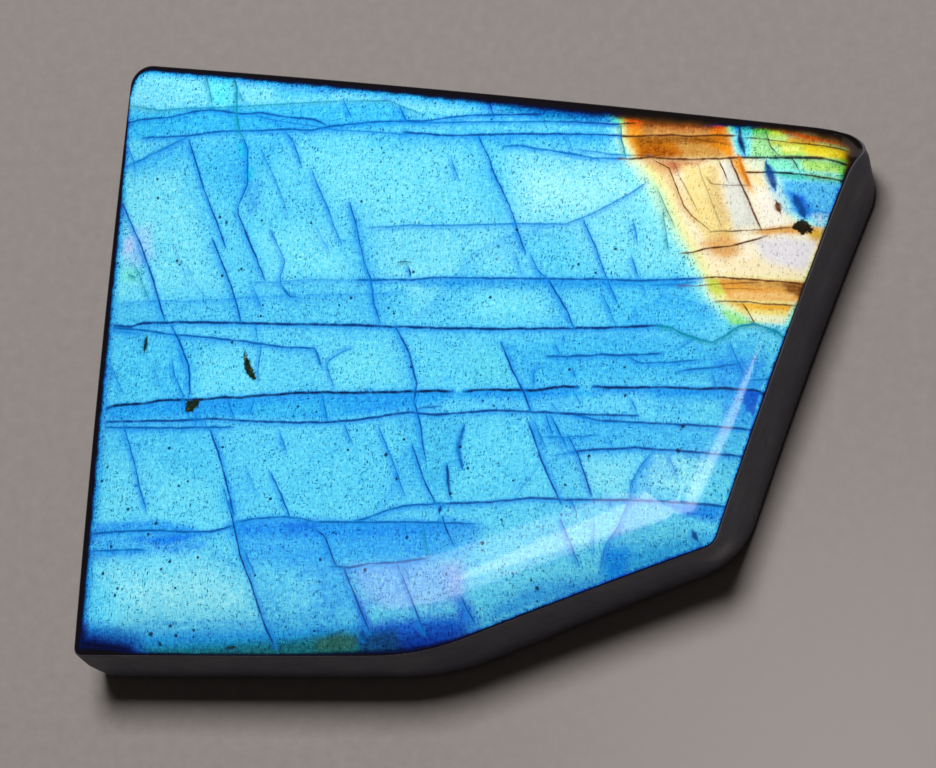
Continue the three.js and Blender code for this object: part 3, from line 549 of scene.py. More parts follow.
LEVEL_VEINS = [
    vein(0.3, 0.15, (-18.7, 13.6), (-17.5, 13.28), (-16.7, 13.08), (-15, 13.03), (-13.7, 12.97), (-7, 13.05),
         (-4.2, 12.95), (-3.2, 12.44), (-2.3, 12.1), kind=TEAL),
    vein(0.65, 0.3, (-18.8, 12.67), (-18.05, 12.74), (-15.9, 12.63), (-14.8, 12.83), (-13.7, 12.86),
         (-12.05, 12.56), (-11, 12.56), (-10, 12.33), (-8.1, 12.06), (-7.4, 11.72)),
    vein(0.35, 0.1, (-11.5, 12.5), (-10.3, 12.11), (-8, 11.67), (-6.6, 11.36), (-5.2, 11.26), (-3.3, 11),
         (-2.8, 10.97)),
    vein(0.6, 0.45, (-17.7, 11.72), (-15, 11.53), (-13.7, 11.63), (-9.1, 11.56), (-8.2, 11.44), (-7, 11.64),
         (-4.3, 11.78), (-2.1, 11.7), (-0.67, 11.86), (0.5, 11.92), (4, 11.8)),
    vein(0.45, 0.15, (-3.2, 11.72), (-2.2, 11.6), (1, 11.5), (3.94, 11.39), (6.17, 11.26), (8, 11.06),
         (8.94, 11.08)),
    vein(0.75, 0.5, (-3.2, 11.1), (-0.67, 10.81), (3, 10.72), (5.3, 10.63), (7.94, 10.44), (8.94, 10.33)),
    vein(0.6, 0, (8.8, 10.33), (11, 10.33), (12, 10.19), (13, 10.22), (14.3, 10.14), kind=BROWN),
    vein(0.4, 0.5, (-18.6, 10.36), (-17.7, 10.56), (-15.7, 11.2), (-15, 11.44), reach=0.7),
    vein(0.45, 0.3, (2.17, 10.1), (3.17, 10.09), (3.72, 9.94), (4.39, 9.8), (5.72, 9.53), (7.06, 9.22),
         (8.6, 9.1)),
    vein(0.8, 0, (8.4, 9.12), (8.94, 9.08), (10, 9.11), (12, 8.91), (14, 8.89), (14.8, 8.9), kind=BROWN),
    vein(0.9, 0, (14.6, 8.9), (16, 8.83), (17, 8.81), (18.9, 8.76), (19.56, 8.6), (20, 8.5), kind=SOOT),
    vein(0.35, 0.2, (6.06, 9.72), (7.17, 9.56), (8, 9.37), (10, 9.2)),
    vein(0.3, 0, (12.1, 10.06), (13.67, 9.74), (14.1, 9.6), kind=BROWN),
    vein(0.35, 0, (14.67, 10), (15.56, 9.94), (17.1, 9.64), (18.9, 9.42), (20, 9.28), kind=SOOT),
    vein(0.3, 0, (16.2, 8.94), (18.9, 8.8), kind=SOOT),
    vein(0.6, 0, (15, 8.09), (16, 8.06), (17.8, 7.94), (19.9, 7.67), kind=SOOT),
    vein(0.3, 0, (17.1, 6.2), (18, 6.2), (19.2, 6.05)),
    vein(0.3, 0, (13, 8), (13.33, 7.56), (14.2, 7.44), (15.3, 7.39), kind=BROWN),
    vein(0.35, 0, (13.3, 5.06), (15, 5.1), (16, 5.13), (17.56, 5.28), kind=BROWN),
    vein(0.5, 0, (11.9, 4.02), (12.56, 4.06), (13.1, 4.22), (14.44, 4.33), (15.78, 4.67), (16.2, 4.83),
         kind=BROWN),
    vein(0.35, 0.2, (-4.78, 6.1), (-2.44, 6.13), (-0.67, 6.03), (3.17, 5.94), (5.06, 5.83), (5.83, 5.8),
         (7.06, 6.2), (8.94, 7.11), (10, 7.78), reach=0.6),
    vein(0.25, 0.3, (-11, 3.58), (-9.9, 3.52), (-7.8, 3.56), (-5, 3.42), reach=0.6),
    vein(0.6, 0.5, (-5.2, 3.42), (-2.2, 3.3), (-1, 3.36), (3.94, 3.08), (7.28, 2.89), (10, 2.69), (13, 2.72),
         reach=0.4),
    vein(0.5, 0, (12.8, 2.74), (13.78, 2.76), (14.78, 2.69), (17.94, 2.5), kind=BROWN),
    vein(0.35, 0.2, (10.44, 2.44), (12, 2.44), (12.78, 2.58)),
    vein(0.3, 0, (11.67, 2.37), (12.78, 2.36), (14.78, 2.47), (15.8, 2.5), kind=BROWN),
    vein(0.25, 0, (13.9, 2.2), (15.2, 2.2), (15.9, 2.15), kind=BROWN),
    vein(0.4, 0, (13.67, 1.55), (15.33, 1.55), (15.9, 1.45), (17.56, 1.42), kind=BROWN),
    vein(0.2, 0.35, (-18.7, 3.06), (-15.7, 2.94), (-14.8, 2.8), (-8.1, 2.78), (-4.3, 2.67), (-2.55, 2.72),
         reach=0.35),
    vein(0.9, 0.6, (-18.78, 1.94), (-17.7, 1.75), (-17, 1.87), (-13.3, 1.63), (-9, 1.31), (-5, 1.08),
         (-1, 0.76), (3, 0.53), (8, 0.37), (11, 0.4), reach=0.35),
    vein(0.6, 0.3, (10.8, 0.4), (11.5, 0.28), (12, 0), (13, -0.35), (13.6, -0.48), (14.1, -0.22), (15, 0.37),
         (15.67, 0.45), (16.67, 0.11), (17, -0.24), kind=TEAL),
    vein(0.3, 0.2, (13, -0.3), (12.67, -0.33), (11.8, -0.94)),
    vein(0.6, 0.35, (-18.78, 1.83), (-17.05, 1.5), (-15.28, 1.14), (-12.7, 0.76), (-11.17, 0.52), (-9, 0.13),
         (-7.3, 0), (-7.1, -0.39), (-6.9, -0.94)),
    vein(0.3, 0.1, (-18.78, 1.67), (-18.05, 1.5), (-16.94, 1.28)),
    vein(1.0, 0.75, (-18.9, -2.39), (-18.28, -2.28), (-16.7, -2.36), (-15.7, -2.28), (-12.83, -2.39),
         (-12.05, -2.33), (-11.5, -2.41), (-10, -2.33), (-7.33, -2.28), (-5.44, -2.39), (-1, -2.48),
         (0.2, -2.53), reach=0.5),
    vein(1.0, 0.75, (0.8, -2.56), (2, -2.52), (3.94, -2.64), (4.7, -2.67), (5.5, -2.56), (6.17, -2.52),
         (6.8, -2.6), reach=0.5),
    vein(0.95, 0.75, (7.6, -2.6), (8.94, -2.69), (11, -2.72), (13, -2.83), (13.9, -2.78), (15.67, -2.83),
         (16.06, -3), reach=0.5),
    vein(0.4, 0.2, (15.33, -2.33), (16.33, -2.24)),
    vein(0.8, 0.4, (-18.94, -3.1), (-17.05, -3.25), (-14.83, -3.39), (-12.6, -3.41), (-11.05, -3.6),
         (-8.44, -3.78), (-6.56, -3.86), (-4.78, -3.8), (-2.1, -3.52), (-0.67, -3.7), (2.28, -3.6),
         (3.94, -3.7), (6.17, -3.9), (7.28, -4), (9.94, -4.13), reach=0.35),
    vein(0.5, 0.1, (-1.72, -3.4), (-1.33, -3.3), (-0.33, -3.26)),
    vein(0.6, 0.3, (-18.94, -3.37), (-17.05, -3.58), (-15.7, -3.72), (-13.7, -3.8), (-11.5, -3.9)),
    vein(0.7, 0.4, (6.6, -3.94), (7.28, -4.14), (8, -4.33), (10, -4.48), (13, -4.64), (15.44, -4.78)),
    vein(0.65, 0.35, (5.06, -0.94), (6.17, -1.02), (8, -0.98), (8.94, -1.06), (11.1, -1.0)),
    vein(0.45, 0.3, (9.28, -1.1), (9.94, -1.48), (11.44, -1.48), (13, -1.36)),
    vein(0.5, 0.3, (11.9, -1.94), (13, -1.8), (13.9, -1.72), (14.9, -1.53)),
    vein(0.35, 0.3, (5.06, -5.06), (7.28, -5.1), (8, -5.02)),
    vein(0.3, 0.3, (5.5, -6), (6.17, -5.94), (7, -5.82)),
    vein(0.75, 0.5, (6.6, -5.86), (7.28, -5.8), (9.94, -5.74), (11.2, -5.86), (13.3, -6), (15, -6.1)),
    vein(0.3, 0.2, (13.67, -5.06), (14.33, -4.83)),
    vein(0.55, 0.5, (-4.8, -8.95), (-4.1, -8.83), (-3.2, -8.52), (-2.2, -8.28), (-0.06, -8.22)),
    vein(0.7, 0.4, (-0.06, -8.26), (2.06, -8.24), (4.6, -8.11), (6.6, -8.24), (9.5, -8.34), (12.2, -8.48),
         (14.2, -8.59)),
    vein(0.65, 0.5, (-19.3, -8.87), (-17.83, -8.91), (-15.94, -8.98), (-13.83, -9.18), (-12.4, -9.22),
         (-11.3, -8.98)),
    vein(0.5, 0.5, (-19.3, -9.76), (-17.7, -9.87), (-16.06, -9.98)),
    vein(0.55, 0.55, (-6.9, -8.94), (-4.78, -9.02), (-2.1, -9.1), (-0.06, -9.2), (1.6, -9.3)),
    vein(0.2, 0.1, (1.2, -9.42), (2.6, -9.6)),
    vein(0.5, 0.4, (-11.2, -8.8), (-10.2, -8.66), (-8.6, -8.6), (-7.6, -8.75), (-6.9, -8.92)),
    vein(0.6, 0.4, (-6, -11.2), (-5, -11.28), (-4, -11.13), (-2.1, -11.08), (-0.78, -10.94)),
    vein(0.2, 0.2, (-8, -11.5), (-6.8, -11.4), (-6, -11.2)),
]

STEEP_VEINS = [
    vein(0.75, 0.5, (-18.7, 8.3), (-18.28, 7.6), (-17.39, 6), (-16.6, 4.28), (-15.94, 2.5), (-15.7, 1.94)),
    vein(0.8, 0.5, (-15.3, 1.6), (-14.83, 0.83), (-14.2, -0.5), (-14.03, -1.9), (-14.1, -2.2)),
    vein(0.35, 0.2, (-15.17, -0.17), (-15, -0.94), (-14.39, -2.17), (-14.17, -2.94), (-13.94, -3.33)),
    vein(0.25, 0.1, (-14.83, 0.5), (-14.39, -0.83)),
    vein(0.2, 0.1, (-17.67, 6.06), (-17.05, 5.06)),
    vein(0.25, 0.1, (-17.83, 5.17), (-17.39, 4.5), (-16.7, 3.06), kind=TEAL),
    vein(0.3, 0.3, (-18.6, 11.5), (-18.2, 10.6), (-18, 10)),
    vein(0.3, 0.2, (-18.83, -0.17), (-18.17, -1.39), (-17.94, -1.7)),
    vein(0.25, 0.1, (-16.28, -0.28), (-15.78, -1.5)),
    vein(0.6, 0.45, (-14.83, 11.28), (-14.3, 9.94), (-13.83, 8.6), (-13, 6.83), (-12.72, 6.17),
         (-12.44, 5.5)),
    vein(0.7, 0.45, (-13.2, 6), (-12.6, 4.7), (-11.94, 3.28), (-11.39, 1.6)),
    vein(0.25, 0.15, (-10.82, 10.68), (-9.99, 9.08), (-9.41, 7.87), (-9.05, 6.87)),
    vein(0.15, 0.1, (-15.5, 6.12), (-14.75, 4.49), (-14.36, 3.29)),
    vein(0.15, 0.1, (-14.66, 4.78), (-13.96, 3.65), (-13.38, 2.83)),
    vein(0.15, 0.15, (-7.6, 6.41), (-7.05, 5.41), (-6.62, 4.9)),
    vein(0.3, 0.15, (-14.4, 14.83), (-14.05, 14.06), (-13.7, 13.05), kind=TEAL),
    vein(0.5, 0.3, (-12.78, 14.5), (-12.55, 14), (-12.33, 12.7), (-12.05, 11.6), (-11.83, 11.28), kind=TEAL,
         side=BOTH),
    vein(0.3, 0.2, (-12.4, 13.83), (-12.05, 13.17), kind=TEAL),
    vein(0.45, 0.6, (-11.83, 11.28), (-11.5, 10.6), (-11.4, 8.7), (-11.83, 7.6), side=WEST, reach=0.6),
    vein(0.75, 0.45, (-11.83, 7.6), (-11.83, 7.17), (-11.5, 6.5), (-10.7, 4.83), (-10.2, 3.7)),
    vein(0.3, 0.3, (-10.94, 3.6), (-10.6, 2.94), (-10.17, 1.94)),
    vein(0.25, 0.25, (-10.6, 1.39), (-10.39, 0.5)),
    vein(0.3, 0.25, (-10.05, 6.39), (-9.55, 5.39), (-9.13, 4.6), (-9.36, 3.5), (-9.17, 3.28)),
    vein(0.5, 0.1, (-9.3, 3.4), (-8.9, 2.89), (-8.72, 2.72), (-8.33, 2.67)),
    vein(0.4, 0.45, (-9.5, 11.4), (-9, 10.8), (-8.5, 9.5)),
    vein(0.35, 0.4, (-7.94, 9.39), (-7.67, 8.72), (-7, 7.39), (-6.55, 6.28), (-6.05, 5.28)),
    vein(0.15, 0.25, (-7, 5.5), (-6.7, 4.94)),
    vein(0.4, 0.3, (-6.72, 13.17), (-6.1, 12.1)),
    vein(0.45, 0.3, (-3.6, 12.6), (-3.1, 11.7)),
    vein(0.45, 0.6, (-5.78, 7.56), (-5.39, 6.39), (-4.78, 4.17), (-4.44, 3.5), (-4.2, 2.17), (-3.78, 1.06),
         side=BOTH, reach=0.4),
    vein(0.8, 0.55, (-3, 0.94), (-2.5, 0.06), (-2.2, -0.5), (-1.72, -2.06), (-1.83, -2.94)),
    vein(0.55, 0.45, (-1.83, -2.94), (-1.5, -3.94), (-1.1, -5.94)),
    vein(0.3, 0.3, (-5.2, -0.1), (-5.78, -0.28), (-6.5, -0.67), (-6.58, -0.94), (-6.1, -2.2), reach=0.6),
    vein(0.55, 0.4, (0.83, 10.72), (1.5, 9.56), (1.89, 8.6), (2.72, 7.06), (3.17, 6)),
    vein(0.5, 0.6, (3.17, 6), (3.41, 5.28), (3.78, 4.39), reach=0.7),
    vein(0.4, 0.5, (4.06, 4.28), (4.44, 3.5), (5.06, 2.94)),
    vein(0.65, 0.6, (5.06, 2.94), (5.39, 2.39), (6.06, 1.39), (6.5, 0.44), reach=0.6),
    vein(0.2, 0.3, (3.17, 4.5), (3.61, 3.28)),
    vein(0.3, 0.4, (-0.5, 9.6), (-0.17, 8.83), (0.05, 8.28)),
    vein(0.35, 0.3, (1.1, 12.6), (1.6, 11.6)),
    vein(0.3, 0.2, (2.5, 10.7), (2.56, 10.17)),
    vein(0.25, 0.2, (5.6, 10.28), (5.94, 9.6)),
    vein(0.4, 0.45, (6.72, 6), (7.39, 4.72), (7.89, 3.39), (8.72, 1.6)),
    vein(0.3, 0.35, (7.83, 2.28), (8.67, 0.5)),
    vein(0.3, 0.35, (9.39, 5.83), (9.67, 4.6)),
    vein(0.35, 0.35, (9.33, 4.06), (9.78, 2.83)),
    vein(0.25, 0.2, (10, 2.5), (10.17, 1.83)),
    vein(0.2, 0.2, (9.6, 1.5), (9.83, 0.72)),
    vein(0.8, 0.5, (-12.78, -4), (-12.28, -5.17), (-11.83, -6.5), (-11.28, -8.4), side=EAST),
    vein(0.85, 0.5, (-11.6, -7.72), (-11.2, -9.06), (-10.9, -10.4), (-10.28, -11.9), (-9.8, -13.5),
         (-9.2, -15.06), side=EAST),
    vein(0.35, 0.2, (-11.89, -6.94), (-11.44, -8.3)),
    vein(0.35, 0.2, (-10.67, -10.2), (-10.4, -10.8), (-10.06, -11.5)),
    vein(0.45, 0.45, (-17.83, -3.4), (-17.05, -5.4), (-16.7, -6.6), (-16.17, -7.94), side=BOTH),
    vein(0.3, 0.2, (-13.7, -2.94), (-13.56, -3.78)),
    vein(0.3, 0.2, (-13.44, -3.06), (-13.2, -3.78)),
    vein(0.35, 0.2, (-13.1, -3.4), (-13, -3.9)),
    vein(0.4, 0.2, (-11.9, -2.5), (-11.44, -3.5)),
    vein(0.3, 0.2, (-10.4, -2.5), (-10.67, -3.4)),
    vein(0.3, 0.2, (-10.2, 0.3), (-10.33, -1.06), (-10.28, -1.7)),
    vein(0.4, 0.25, (-6.78, -2.4), (-6.4, -3.83)),
    vein(0.25, 0.2, (-5.6, -2.7), (-5.4, -3.4)),
    vein(0.3, 0.3, (-9, -4.17), (-8.5, -5.4)),
    vein(0.35, 0.3, (-5.56, -3.94), (-5, -5.06)),
    vein(0.35, 0.35, (-3.67, -4.17), (-3.17, -5.28), (-2.9, -5.83), (-2.1, -7.8)),
    vein(0.65, 0.3, (-1.83, -5.2), (-1.17, -6.94), (-0.5, -8.2)),
    vein(0.55, 0.3, (-9.33, -6.4), (-8.78, -7.4), (-8.22, -8.67)),
    vein(0.2, 0.3, (-10.78, -5.94), (-10, -7.5)),
    vein(0.75, 0.5, (2.67, -0.17), (3.33, -1.6), (4.1, -3), (4.36, -3.72), side=EAST),
    vein(0.7, 0.45, (4.28, -4.28), (5.1, -6.4), (6.06, -8.4), side=EAST),
    vein(0.35, 0.3, (4.56, -4.17), (5.28, -5.7)),
    vein(0.4, 0.3, (5.17, -3.9), (5.56, -4.94)),
    vein(0.5, 0.3, (5.5, -4.06), (6.28, -5.5)),
    vein(0.65, 0.4, (6.39, -5.06), (6.89, -5.94), (7.67, -8.06)),
    vein(0.3, 0.3, (5.06, -1.5), (4.6, -1.6), (4.44, -1.83), (4.5, -2.6)),
    vein(0.3, 0.2, (5.39, -3.28), (5.9, -3.9)),
    vein(0.3, 0.2, (6.44, -1.5), (6.7, -2.17)),
    vein(0.25, 0.2, (6.7, -2.94), (7, -3.5)),
    vein(0.3, 0.2, (5.9, 0.17), (6.06, -0.28)),
    vein(0.3, 0.3, (5.5, -0.28), (5.83, -0.94)),
    vein(0.3, 0.2, (9.6, -3.28), (9.9, -3.94)),
    vein(0.3, 0.2, (8.4, -5.06), (8.7, -5.6)),
    vein(0.2, 0.2, (5, -6.44), (3.7, -8)),
    vein(0.35, 0.3, (14.44, -0.5), (14.9, -1.56), (15.2, -2.4)),
    vein(0.35, 0.3, (13.56, -1.94), (13.83, -2.7)),
    vein(0.3, 0.3, (11.44, -5.94), (12, -7.3)),
    vein(0.3, 0.3, (-14.4, -9.9), (-14.2, -10.3)),
    vein(0.15, 0.2, (-12.6, -10), (-11.9, -10.5), (-10.7, -11.2)),
    vein(0.75, 0.5, (-6.83, -9.33), (-6.4, -9.6), (-6.17, -10.06), (-5.7, -11.2)),
    vein(0.8, 0.5, (-5.28, -11.33), (-4.83, -12.4), (-4.33, -13.7), (-4.06, -14.5)),
    vein(0.55, 0.3, (-2.44, -11.2), (-1.9, -12.5), (-1.4, -13.9), (-1.17, -14.6)),
    vein(0.3, 0.2, (-2.2, -11.2), (-1.78, -11.9)),
    vein(0.35, 0.2, (-2.1, -9.06), (-1.94, -9.8)),
    vein(0.3, 0.2, (-1.06, -9.4), (-0.94, -10.1), (-0.78, -10.9), kind=TEAL),
    vein(0.7, 0.4, (-0.06, -8.9), (0.1, -9.5), (0.5, -10.3)),
    vein(0.5, 0.3, (6.6, -8.2), (6.83, -8.78)),
    vein(0.3, 0.2, (8.56, -8.3), (8.67, -8.67)),
    vein(0.45, 0.3, (6.06, -9.2), (6.56, -10.5), (6.9, -11.4)),
    vein(0.25, 0.2, (7.78, -9.2), (7.67, -11)),
    vein(0.6, 0.4, (0.9, -12.94), (1.17, -13.6), (1.44, -14.17)),
    vein(0.4, 0.2, (-0.24, -8.52), (-0.06, -8.3)),
]

GOLD_STREAKS = [
    vein(0.35, 0, (10.2, 8.94), (11.06, 8.5), (11.67, 7.17), (12, 6.39), (12.39, 5.94), (13.33, 5.17),
         kind=BROWN, width=0.035),
    vein(0.35, 0, (13.6, 8.83), (14.2, 7.6), kind=BROWN),
    vein(0.55, 0, (14.2, 8.83), (14.67, 7.83), (15.28, 6.6), (15.9, 5.17), kind=BROWN, width=0.06),
    vein(0.25, 0, (10.44, 7.6), (11.56, 5.39), kind=TEAL),
    vein(0.3, 0, (10.9, 6.28), (11.28, 4.17), kind=TEAL),
    vein(0.45, 0, (15.1, 1.39), (15.67, 0.4), kind=BROWN),
    vein(0.3, 0, (15.8, 10.3), (16.2, 9.4), (16.8, 8.83), kind=SOOT),
    vein(0.4, 0, (17.3, 8.83), (17.7, 8.17), kind=SOOT),
    vein(0.2, 0, (12.5, 8.7), (13.4, 6.6), (14, 5.2), kind=BROWN, width=0.04),
    vein(0.2, 0, (11.2, 8.9), (12, 7.4), (12.8, 6), kind=BROWN, width=0.04),
    vein(0.5, 0, (14.6, 9), (14.95, 8.1), (15.3, 7.4), kind=ORANGE, width=0.1),
    vein(0.5, 0, (8.25, 10.9), (8.4, 10.2), (8.75, 9.2), kind=TEAL, width=0.04),
]

# Edges with a bluer side and almost no line of their own
ARCS = [
    vein(0.08, 0.35, (-16.8, -13.6), (-13, -13.7), (-9, -13.75), (-6.3, -13.4), reach=0.5),
    vein(0.12, 0.24, (-2.1, 1.17), (-1.22, 1.94), (-0.67, 2.39), (0, 3.28), (0.72, 4.22), (1.28, 4.67),
         (2.83, 5.3), (3.72, 5.5), (5.06, 5.72), reach=0.8),
    vein(0.15, 0.35, (8.94, 0.44), (9.6, 0.94), (10.5, 1.56), (11, 1.9), (11.67, 1.78), (12.5, 1.56),
         (13.9, 1.1), reach=0.9),
    vein(0.12, 0.3, (-2.1, -5.28), (-2.56, -6.06), (-2.9, -7.5), (-3.78, -8.5), side=EAST, reach=0.9),
    vein(0.3, 0.6, (10.67, -6), (10.06, -6.83), (9.63, -7.7), (9.67, -8.17), (9.06, -9.5), (8.28, -10.5),
         (7.9, -11.8), side=EAST, reach=0.8),
    vein(0.12, 0.3, (-4.2, -8.9), (-4.8, -9.5), (-5.2, -10.5), side=EAST, reach=0.9),
    vein(0.1, 0.35, (-15.5, -2.3), (-14.83, -3.4), side=EAST, reach=0.5),
]

# Long dark grains: the ends and the half width
GRAINS = [
    grain(1, 0.4, (-16.72, 1.15), (-16.8, 0.4), kind=SOOT, width=0.13),
    grain(0.9, 0.2, (16.66, 6.5), (16.84, 6.05), kind=BROWN, width=0.2),
    grain(1, 0.4, (14.4, 10.56), (14.55, 9.9), (14.9, 9.1), width=0.17),
    grain(0.86, 0.4, (16.05, 8.5), (16.6, 7.2), width=0.26),
    grain(0.7, 0.5, (17.5, 6.9), (18, 5.8), width=0.22),
    grain(0.8, 0.2, (-17.96, 4.49), (-17.7, 4.4), kind=TEAL, width=0.05),
    grain(1, 0.1, (-2.9, 4.26), (-2.4, 4.24), kind=SOOT, width=0.04),
    grain(0.9, 0.3, (0.06, -6.3), (0.14, -7.1), (0.3, -7.9), width=0.11),
    grain(0.4, 0.5, (0.9, -4.3), (0.6, -5.4), (0.9, -6.5), width=0.16),
    grain(0.8, 0.4, (-0.24, -8.4), (-0.26, -8.66), width=0.13),
    grain(0.6, 0.2, (-2.42, 3.9), (-2.3, 3.5), width=0.06),
    grain(0.9, 0.3, (-11.75, -14.95), (-11.4, -14.93), kind=SOOT, width=0.12),
    grain(0.8, 0.3, (-4.44, -14.35), (-4.42, -14.8), width=0.2),
    grain(0.6, 0.3, (12.7, -9.9), (12.9, -10.25), width=0.2),
]

# Specks big enough to have a place of their own: x, y and radius
SPECKS = [
    (-12.83, 7.1, 0.1), (-12.44, 6.78, 0.1), (-15.17, 4.97, 0.1), (-15, 4.76, 0.08), (-12.55, 4, 0.1),
    (-11.5, 4.3, 0.09), (-10.5, 6.77, 0.08), (-7.8, 6.5, 0.09), (-5.14, 7.5, 0.1), (-5.44, 2.5, 0.1),
    (-3.1, 1.6, 0.09), (-2.14, 3.7, 0.1), (3.26, 5.63, 0.1), (8.5, 4.39, 0.1), (2, 2.2, 0.1),
    (-15.05, -4.8, 0.1), (-18.7, -5.48, 0.09), (-19, -6.17, 0.1), (-14.39, -6.78, 0.09), (-13.9, -6.58, 0.09),
    (-17.28, -7.8, 0.11), (-12.05, -4.9, 0.09), (-2.08, -1.2, 0.08), (-8.05, -2.98, 0.09),
    (-3.2, -5.64, 0.12), (-2.28, -4.9, 0.1), (-5.26, -5.33, 0.09), (-2.6, -6.9, 0.1), (-9.3, -7.67, 0.11),
    (0.72, -5.4, 0.1), (1.17, -6.48, 0.11), (3.58, -7.2, 0.08), (6.28, -7.5, 0.1), (9.28, -3.1, 0.1),
    (6.33, -1.67, 0.09), (9.2, -1.67, 0.09), (-15.58, -8.64, 0.12), (-16, -9.17, 0.09), (-18.2, -9.66, 0.11),
    (-18.6, -11.02, 0.12), (-15.17, -11.03, 0.09), (-14.7, -10.67, 0.1), (-13.17, -10.5, 0.1),
    (-17.67, -11.86, 0.1), (-17.8, -12.2, 0.11), (-14.74, -13.83, 0.11), (-14.5, -14.3, 0.12),
    (-13.5, -14.08, 0.11), (-15.86, -14.2, 0.16), (-15.4, -14.67, 0.14), (-14.4, -12, 0.08),
    (-6.56, -10.83, 0.1), (-4.17, -11.44, 0.12), (-1.97, -9.86, 0.1), (-10.06, -11.5, 0.08),
    (-7, -14.3, 0.09), (0.3, -7.74, 0.11), (2, -10.28, 0.13), (2.98, -9.14, 0.08), (4.7, -12.47, 0.14),
    (4.44, -12.1, 0.09), (-16.6, 9.4, 0.1), (-16.5, 8.4, 0.1), (12.2, -4.7, 0.13), (7.5, -6.1, 0.11),
    (12, -5.9, 0.14), (-11.8, 0.5, 0.1), (-10.3, 1.8, 0.09), (15.1, -9.2, 0.08), (-3.4, 1.9, 0.08),
    (6.6, 3.7, 0.1),
]


def stain(kind, dark, *outline):
    """A patch with an outline of its own: what it is made of and how dark it is."""
    return dict(kind=kind, dark=dark, outline=np.array(outline, float))


# Dark grains and a bright patch with an outline of their own
STAINS = [
    stain(SOOT, 1, (17.35, 5.25), (17.6, 5.6), (17.9, 5.7), (18.2, 5.5), (18.45, 5.2), (18.3, 4.95),
          (18.1, 5.05), (17.85, 4.85), (17.65, 5.1)),
    stain(SOOT, 1, (-14.2, -2.36), (-13.4, -2.36), (-13.55, -2.7), (-13.85, -3.0), (-14.25, -2.98)),
    stain(SOOT, 1, (-11.15, 0.1), (-10.95, -0.2), (-10.6, -0.9), (-10.35, -1.5), (-10.6, -1.5),
          (-10.95, -1.2), (-11.1, -0.7)),
    stain(BLUE, 0.75, (15.1, -2.8), (15.85, -2.95), (15.7, -3.6), (15.55, -4.15), (15.2, -3.8),
          (15.05, -3.3)),
]

# Painted shade: the flash is painted dark along the rim where the face bends away, widest on the upper and
# left sides
# The dark rim of the face: a point on the outline, the rim's width there, and how brown its outer half is
RIM = [
    (-18.5, 15.5, 0.34, 0.9), (-15, 15.2, 0.42, 0.9), (-12, 14.8, 0.46, 0.9), (-5, 14, 0.52, 0.9),
    (2, 13, 0.6, 0.9), (8, 12.1, 0.7, 0.9), (9.5, 11.9, 0.75, 1), (12.8, 11.4, 0.7, 1), (14, 11.2, 0.55, 0.9),
    (15.6, 11, 0.5, 0.9), (16.6, 10.8, 0.5, 1), (18.5, 10.5, 0.45, 1), (20.2, 9.8, 0.7, 1),
    (20.4, 8.9, 0.3, 1), (20, 7.6, 0.12, 0.9), (18.6, 4, 0.1, 1), (17.3, 1, 0.1, 1), (16.2, -2, 0.12, 0.3),
    (14, -9, 0.1, 0.2), (13.2, -10.4, 0.12, 0.2), (8, -12.4, 0.12, 0.2), (0, -15, 0.14, 0.4),
    (-3.5, -15.5, 0.2, 0.8), (-8, -15.4, 0.1, 0.9), (-14, -15.2, 0.1, 0.9), (-17, -15.1, 0.14, 0.9),
    (-18.6, -15, 0.35, 0.9), (-20.1, -14, 0.5, 0.9), (-20.2, -12, 0.5, 0.9), (-20, -8, 0.5, 0.9),
    (-19.4, 1, 0.45, 0.9), (-18.9, 9, 0.35, 0.9), (-18.8, 11, 0.25, 0.9), (-18.7, 14, 0.12, 0.9),
]


TIE = 1e-6  # of two runs equally near, the one more squarely beside the point counts


def line_distance(points, x, y):
    """For each point: the signed distance from a line (left of its run is positive), how far it is past the
    line's ends, how far along the line it lies, and the line's length."""
    best = np.full(x.shape, FAR_AWAY)
    signed, past, place = np.zeros(x.shape), np.zeros(x.shape), np.zeros(x.shape)
    walked = 0.0
    for i, (start, end) in enumerate(zip(points, points[1:])):
        run = end - start
        length = np.linalg.norm(run)
        run = run / length
        forward = (x - start[0]) * run[0] + (y - start[1]) * run[1]
        across = run[0] * (y - start[1]) - run[1] * (x - start[0])
        held = np.clip(forward, 0, length)
        away = np.hypot(forward - held, across)
        key = away - TIE * np.abs(across)
        nearer = key < best
        best = np.where(nearer, key, best)
        first, last = i == 0, i == len(points) - 2
        over = np.maximum(-forward, 0) * first + np.maximum(forward - length, 0) * last
        signed = np.where(nearer, np.where(over > 0, across, np.copysign(away, across)), signed)
        past = np.where(nearer, over, past)
        place = np.where(nearer, walked + held, place)
        walked += length
    return signed, past, place, walked


REACH_OF_LINE = 0.4  # how far from a line its own numbers are kept, in millimetres
LINES_APART = 1.15  # two lines nearer than this go into different sets
SPECKS_APART = 1.2
POINTS_PER_MM = 3  # how close the points are that stand for a line


def dense(points):
    """Points along a line no more than a third of a millimetre apart."""
    parts = []
    for start, end in zip(points, points[1:]):
        count = max(2, int(np.linalg.norm(end - start) * POINTS_PER_MM))
        parts.append(start + (end - start) * np.linspace(0, 1, count)[:, None])
    return np.vstack(parts)


def sorted_apart(things, marks_of, apart):
    """Puts things into as few sets as it can, with no two of a set nearer to each other than a distance."""
    sets = []
    for thing in things:
        marks = marks_of(thing)
        for members in sets:
            taken = np.vstack([marks_of(other) for other in members])
            if np.linalg.norm(marks[:, None] - taken[None], axis=2).min() > apart:
                members.append(thing)
                break
        else:
            sets.append([thing])
    return sets


def near(points, x, y, margin):
    """Which of the stone's points lie within a margin of the box round some others."""
    low, high = points.min(axis=0) - margin, points.max(axis=0) + margin
    return np.flatnonzero((x > low[0]) & (x < high[0]) & (y > low[1]) & (y < high[1]))


SHADED_RANGE = 4  # a shade fades out over this many times its reach
PLAIN_SIDE_REACH = 0.13
SHADE_TAPER = (-0.3, 0.6)  # how it begins and ends along its line
SHADE_END = 0.3


